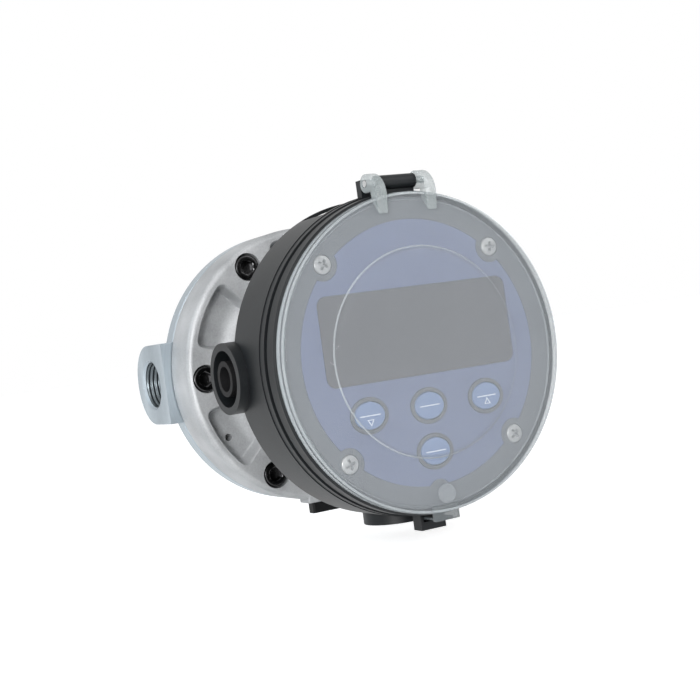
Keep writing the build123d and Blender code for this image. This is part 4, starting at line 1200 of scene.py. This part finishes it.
@dataclass
class Keys:
    """The four oval keys, the dark rings round them and the marks printed on them."""

    half_width: float = 6.1
    half_height: float = 4.9
    dish: float = 0.18
    edge_radius: float = 0.5
    front: float = -137.0
    flange_rear: float = -133.0
    flange_front: float = -134.0
    flange: float = 1.1
    stem_radius: float = 2.0
    stem_rear: float = -126.4
    ring_gap: float = 0.25
    ring_width: float = 1.3
    ring_front: float = -136.85
    ring_rear: float = -136.3
    ring_edge: float = 0.35
    ring_chamfer: float = 0.15
    ring_shoulder: float = 0.1
    line_half: float = 4.1
    line_width: float = 0.36
    mark: float = 1.6
    mark_drop: float = 2.2
    mark_inner: float = 0.66
    print_proud: float = 0.03
    print_root: float = 0.2
    places: tuple[tuple[str, float, float, int], ...] = (
        ("key_left", -24.6, -19.3, -1),
        ("key_middle", 0.0, -19.3, 0),
        ("key_right", 24.6, -19.3, 1),
        ("key_bottom", 0.0, -35.8, 0),
    )

    def oval(self, rows: Sequence[tuple[float, float, float]], closed: bool = False) -> Surface:
        """Ovals joined in order: x = (scale a + inset) cos t, z = (scale b + inset) sin t.

        Args:
            rows: (scale, inset, y) of each oval.
            closed: Whether the last oval joins the first.

        Returns:
            The surface.
        """
        turn = np.radians(np.arange(0, 360, ROUND_STEP_DEGREES))
        scale, inset, y = (np.array(column)[:, None] for column in zip(*rows))
        x = (scale * self.half_width + inset) * np.cos(turn)
        z = (scale * self.half_height + inset) * np.sin(turn)
        return grid(np.stack([x, np.broadcast_to(y, x.shape), z], axis=-1), closed, True)

    def cap(self) -> Surface:
        """One key: a dished top, a rounded edge, the flange behind the fascia and the stem.

        Returns:
            The closed surface.
        """
        shares, radius = (0.0, 0.3, 0.6, 0.8), self.edge_radius
        dish = [(share, 0.0, self.front + self.dish * (1 - share**2)) for share in shares]
        edge = [
            (1.0, radius * (math.sin(t) - 1), self.front + radius * (1 - math.cos(t)))
            for t in np.radians(np.linspace(0, 90, 7))
        ]
        rest = [
            (1.0, 0.0, self.flange_front),
            (1.0, self.flange, self.flange_front),
            (1.0, self.flange, self.flange_rear),
            (0.0, self.stem_radius, self.flange_rear),
            (0.0, self.stem_radius, self.stem_rear),
            (0.0, 0.0, self.stem_rear),
        ]
        return self.oval(dish + edge + rest)

    def ring(self) -> Surface:
        """The low moulded ring round a key, with a rounded top.

        Returns:
            The closed surface.
        """
        low, high = self.ring_gap, self.ring_gap + self.ring_width
        rows = [
            (1.0, low, self.ring_rear),
            (1.0, low, self.ring_front + self.ring_chamfer),
            (1.0, low + self.ring_chamfer, self.ring_front),
            (1.0, high - self.ring_edge, self.ring_front),
            (1.0, high - self.ring_shoulder, self.ring_front + self.ring_shoulder),
            (1.0, high, self.ring_front + self.ring_edge),
            (1.0, high, self.ring_rear),
        ]
        return self.oval(rows, closed=True)

    def marks(self, way: int) -> Surface:
        """A line across the key and, below it, a triangle that points down or up.

        Args:
            way: -1 for a triangle that points down, 1 for up, 0 for none.

        Returns:
            The thin closed surfaces.
        """
        rear, front = self.front + self.print_root, self.front - self.print_proud
        corners = np.array([(-1, -1), (1, -1), (1, 1), (-1, 1)])
        made = [plate(corners * (self.line_half, self.line_width / 2), rear, front)]
        if way:
            turn = np.radians(np.array([90.0, 210.0, 330.0]))
            corners = np.stack([np.cos(turn), way * np.sin(turn)], -1)
            for here, after in zip(corners, np.roll(corners, -1, axis=0)):
                inner = (after * self.mark_inner, here * self.mark_inner)
                outline = np.array([here, after, *inner]) * self.mark
                made.append(plate(outline - np.array([0.0, self.mark_drop]), rear, front))
        return joined(made)

    def build(self) -> None:
        """Make each key with its print, and the rings as one piece."""
        for name, x, z, way in self.places:
            piece(f"{name}_cap", placed(self.cap(), x, z), KEY, name, [name])
            piece(f"{name}_print", placed(self.marks(way), x, z), PRINT, name)
        rings = [placed(self.ring(), x, z) for _, x, z, _ in self.places]
        piece("key_rings", joined(rings), BEZEL, "meter")


@dataclass
class PortThreads:
    """The pipe threads inside both ports, in metal painted darker as painted shade."""

    face: float = 59.5
    middle: float = -16.5
    wall: float = 9.6
    root: float = 9.45
    crest: float = 8.8
    pitch: float = 1.814
    inset: float = 1.0
    length: float = 14.5
    flank_gain: float = 1.25
    root_flat: float = 0.1
    columns: int = 96
    rows_per_turn: int = 8
    crease_degrees: float = 60.0

    def thread(self, side: int) -> Surface:
        """A tube whose inner radius falls to the crest once per pitch along a helix.

        The ridge is a triangle wave r of the pitch; its height is gain times r less the root's
        flat, held between 0 and 1, and it fades out over one pitch at both ends.

        Args:
            side: -1 for the left port, 1 for the right one.

        Returns:
            The closed surface.
        """
        depth = np.arange(0, self.length, self.pitch / self.rows_per_turn)
        turn = np.radians(np.arange(self.columns) * 360 / self.columns)
        phase = np.mod(depth[:, None] / self.pitch - turn[None] / (2 * math.pi), 1.0)
        ridge = 1 - 2 * np.abs(phase - 0.5)
        fade = np.clip(np.minimum(depth, self.length - depth) / self.pitch, 0, 1)[:, None]
        height = np.clip(self.flank_gain * ridge - self.root_flat, 0, 1)
        inner = self.root - (self.root - self.crest) * height * fade
        radius = np.concatenate([inner, np.full((2, self.columns), self.wall)])
        along = np.concatenate([depth, [depth[-1], 0.0]])
        x = np.broadcast_to(side * (self.face - self.inset - along)[:, None], radius.shape)
        points = np.stack([x, self.middle + radius * np.cos(turn), radius * np.sin(turn)], axis=-1)
        return grid(points, wrap_u=True, wrap_v=True)

    def build(self) -> None:
        """Make both threads as one piece."""
        threads = joined([self.thread(-1), self.thread(1)])
        # Their darker metal is painted shade for the inside of the ports
        piece("port_threads", threads, SHADED_THREAD, "meter", crease_degrees=self.crease_degrees)


@dataclass
class Studio:
    """Pale floor, backdrop, soft lamps and the camera at the photograph's place."""

    floor_drop_mm: float = 4.0
    floor_half: float = 6.0
    floor_colour: str = "f4f4f4"
    floor_roughness: float = 0.9
    floor_glow: float = 0.72
    world_light: float = 0.31
    aim: tuple[float, float, float] = (0.0, -0.07, 0.0)
    camera_mm: tuple[float, float, float] = (-247.8, -545.3, 10.6)
    azimuth: float = -28.18
    elevation: float = 0.76
    roll: float = -7.91
    lens_mm: float = 68.6
    sensor_mm: float = 36.0
    lamps: tuple[tuple[tuple[float, float, float], float, float, str], ...] = (
        ((-0.9, -0.9, 1.0), 0.6, 7.0, "ffffff"),
        ((0.9, -0.9, 0.7), 0.8, 5.0, "ffffff"),
        ((-1.1, 0.35, 0.45), 0.5, 3.0, "e6f4ff"),
        ((-0.85, -1.1, 0.1), 0.35, 14.0, "ffffff"),
        ((0.0, -1.3, 0.1), 0.8, 3.0, "ffffff"),
    )

    def level_seen(
        self, tree: bpy.types.NodeTree, light: float, seen: float
    ) -> bpy.types.NodeSocket:
        """One strength as light, and another where the camera, a gloss or clear plastic sees it.

        Args:
            tree: The material's or world's node tree.
            light: Strength for diffuse rays.
            seen: Strength for camera, glossy and transmission rays.

        Returns:
            The socket with the strength.
        """
        path = add_node(tree, "ShaderNodeLightPath")
        shown = path.outputs["Is Camera Ray"]
        for ray in ("Is Glossy Ray", "Is Transmission Ray"):
            shown = add_node(
                tree, "ShaderNodeMath", {"operation": "MAXIMUM"}, {0: shown, 1: path.outputs[ray]}
            ).outputs[0]
        level = add_node(
            tree, "ShaderNodeMapRange", {"To Min": light, "To Max": seen}, {"Value": shown}
        )
        return level.outputs[0]

    def floor(self) -> None:
        """A pale floor with a glow where it is seen: it shows white and keeps the shadow."""
        low = CAD_BOX[0][2] - self.floor_drop_mm * MM
        side = self.floor_half
        mesh = bpy.data.meshes.new("floor")
        corners = [(-side, -side, low), (side, -side, low), (side, side, low), (-side, side, low)]
        mesh.from_pydata(corners, [], [(0, 1, 2, 3)])
        floor = bpy.data.objects.new("floor", mesh)
        bpy.context.scene.collection.objects.link(floor)
        material = bpy.data.materials.new("pale_floor")
        material.use_nodes = True
        tree = material.node_tree
        shader = tree.nodes["Principled BSDF"]
        shader.inputs["Base Color"].default_value = linear(self.floor_colour)
        shader.inputs["Roughness"].default_value = self.floor_roughness
        white = add_node(
            tree,
            "ShaderNodeEmission",
            {"Color": (1.0, 1.0, 1.0, 1.0)},
            {"Strength": self.level_seen(tree, 0.0, self.floor_glow)},
        )
        both = add_node(
            tree, "ShaderNodeAddShader", links={0: shader.outputs[0], 1: white.outputs[0]}
        )
        tree.links.new(both.outputs[0], tree.nodes["Material Output"].inputs[0])
        mesh.materials.append(material)

    def world(self) -> None:
        """An even pale surround: white to the camera, softer as light."""
        world = bpy.data.worlds.new("studio")
        bpy.context.scene.world = world
        world.use_nodes = True
        tree = world.node_tree
        backdrop = tree.nodes["Background"]
        backdrop.inputs["Color"].default_value = (1.0, 1.0, 1.0, 1.0)
        level = self.level_seen(tree, self.world_light, 1.0)
        tree.links.new(level, backdrop.inputs["Strength"])

    def light(self) -> None:
        """Soft square lamps that all look at the middle of the object."""
        middle = Vector(self.aim)
        for number, (place, size, power, colour) in enumerate(self.lamps):
            lamp = bpy.data.lights.new(f"softbox_{number}", "AREA")
            lamp.color = linear(colour)[:3]
            lamp.energy = power
            lamp.size = size
            holder = bpy.data.objects.new(f"softbox_{number}", lamp)
            holder.location = place
            holder.rotation_euler = (middle - Vector(place)).to_track_quat("-Z", "Y").to_euler()
            bpy.context.scene.collection.objects.link(holder)

    def camera(self) -> None:
        """The camera, turned and rolled as the photograph was taken."""
        turn, lift, roll = (math.radians(a) for a in (self.azimuth, self.elevation, self.roll))
        right = Vector((math.cos(turn), math.sin(turn), 0.0))
        back = Vector(
            (math.sin(turn) * math.cos(lift), -math.cos(turn) * math.cos(lift), math.sin(lift))
        )
        up = back.cross(right)
        tilted_right = math.cos(roll) * right + math.sin(roll) * up
        tilted_up = math.cos(roll) * up - math.sin(roll) * right
        rows = Matrix((tilted_right, tilted_up, back)).transposed()
        camera = bpy.data.cameras.new("camera")
        camera.lens = self.lens_mm
        camera.sensor_width = self.sensor_mm
        holder = bpy.data.objects.new("camera", camera)
        holder.matrix_world = Matrix.Translation(Vector(self.camera_mm) * MM) @ rows.to_4x4()
        bpy.context.scene.collection.objects.link(holder)
        bpy.context.scene.camera = holder

    def build(self) -> None:
        """Set up everything round the object."""
        bpy.context.scene.view_settings.view_transform = "Standard"
        self.camera()
        self.floor()
        self.world()
        self.light()


def main() -> None:
    """Build the studio and the pieces in order."""
    logging.basicConfig(level=logging.INFO, format="%(name)s: %(message)s")
    Studio().build()
    CadNodes(NODE_FINISHES).build()
    for part in (WeatherCover(), CastCover(), SocketScrews(), CrossScrews(), Keys(), PortThreads()):
        part.build()


if __name__ == "__main__":
    main()
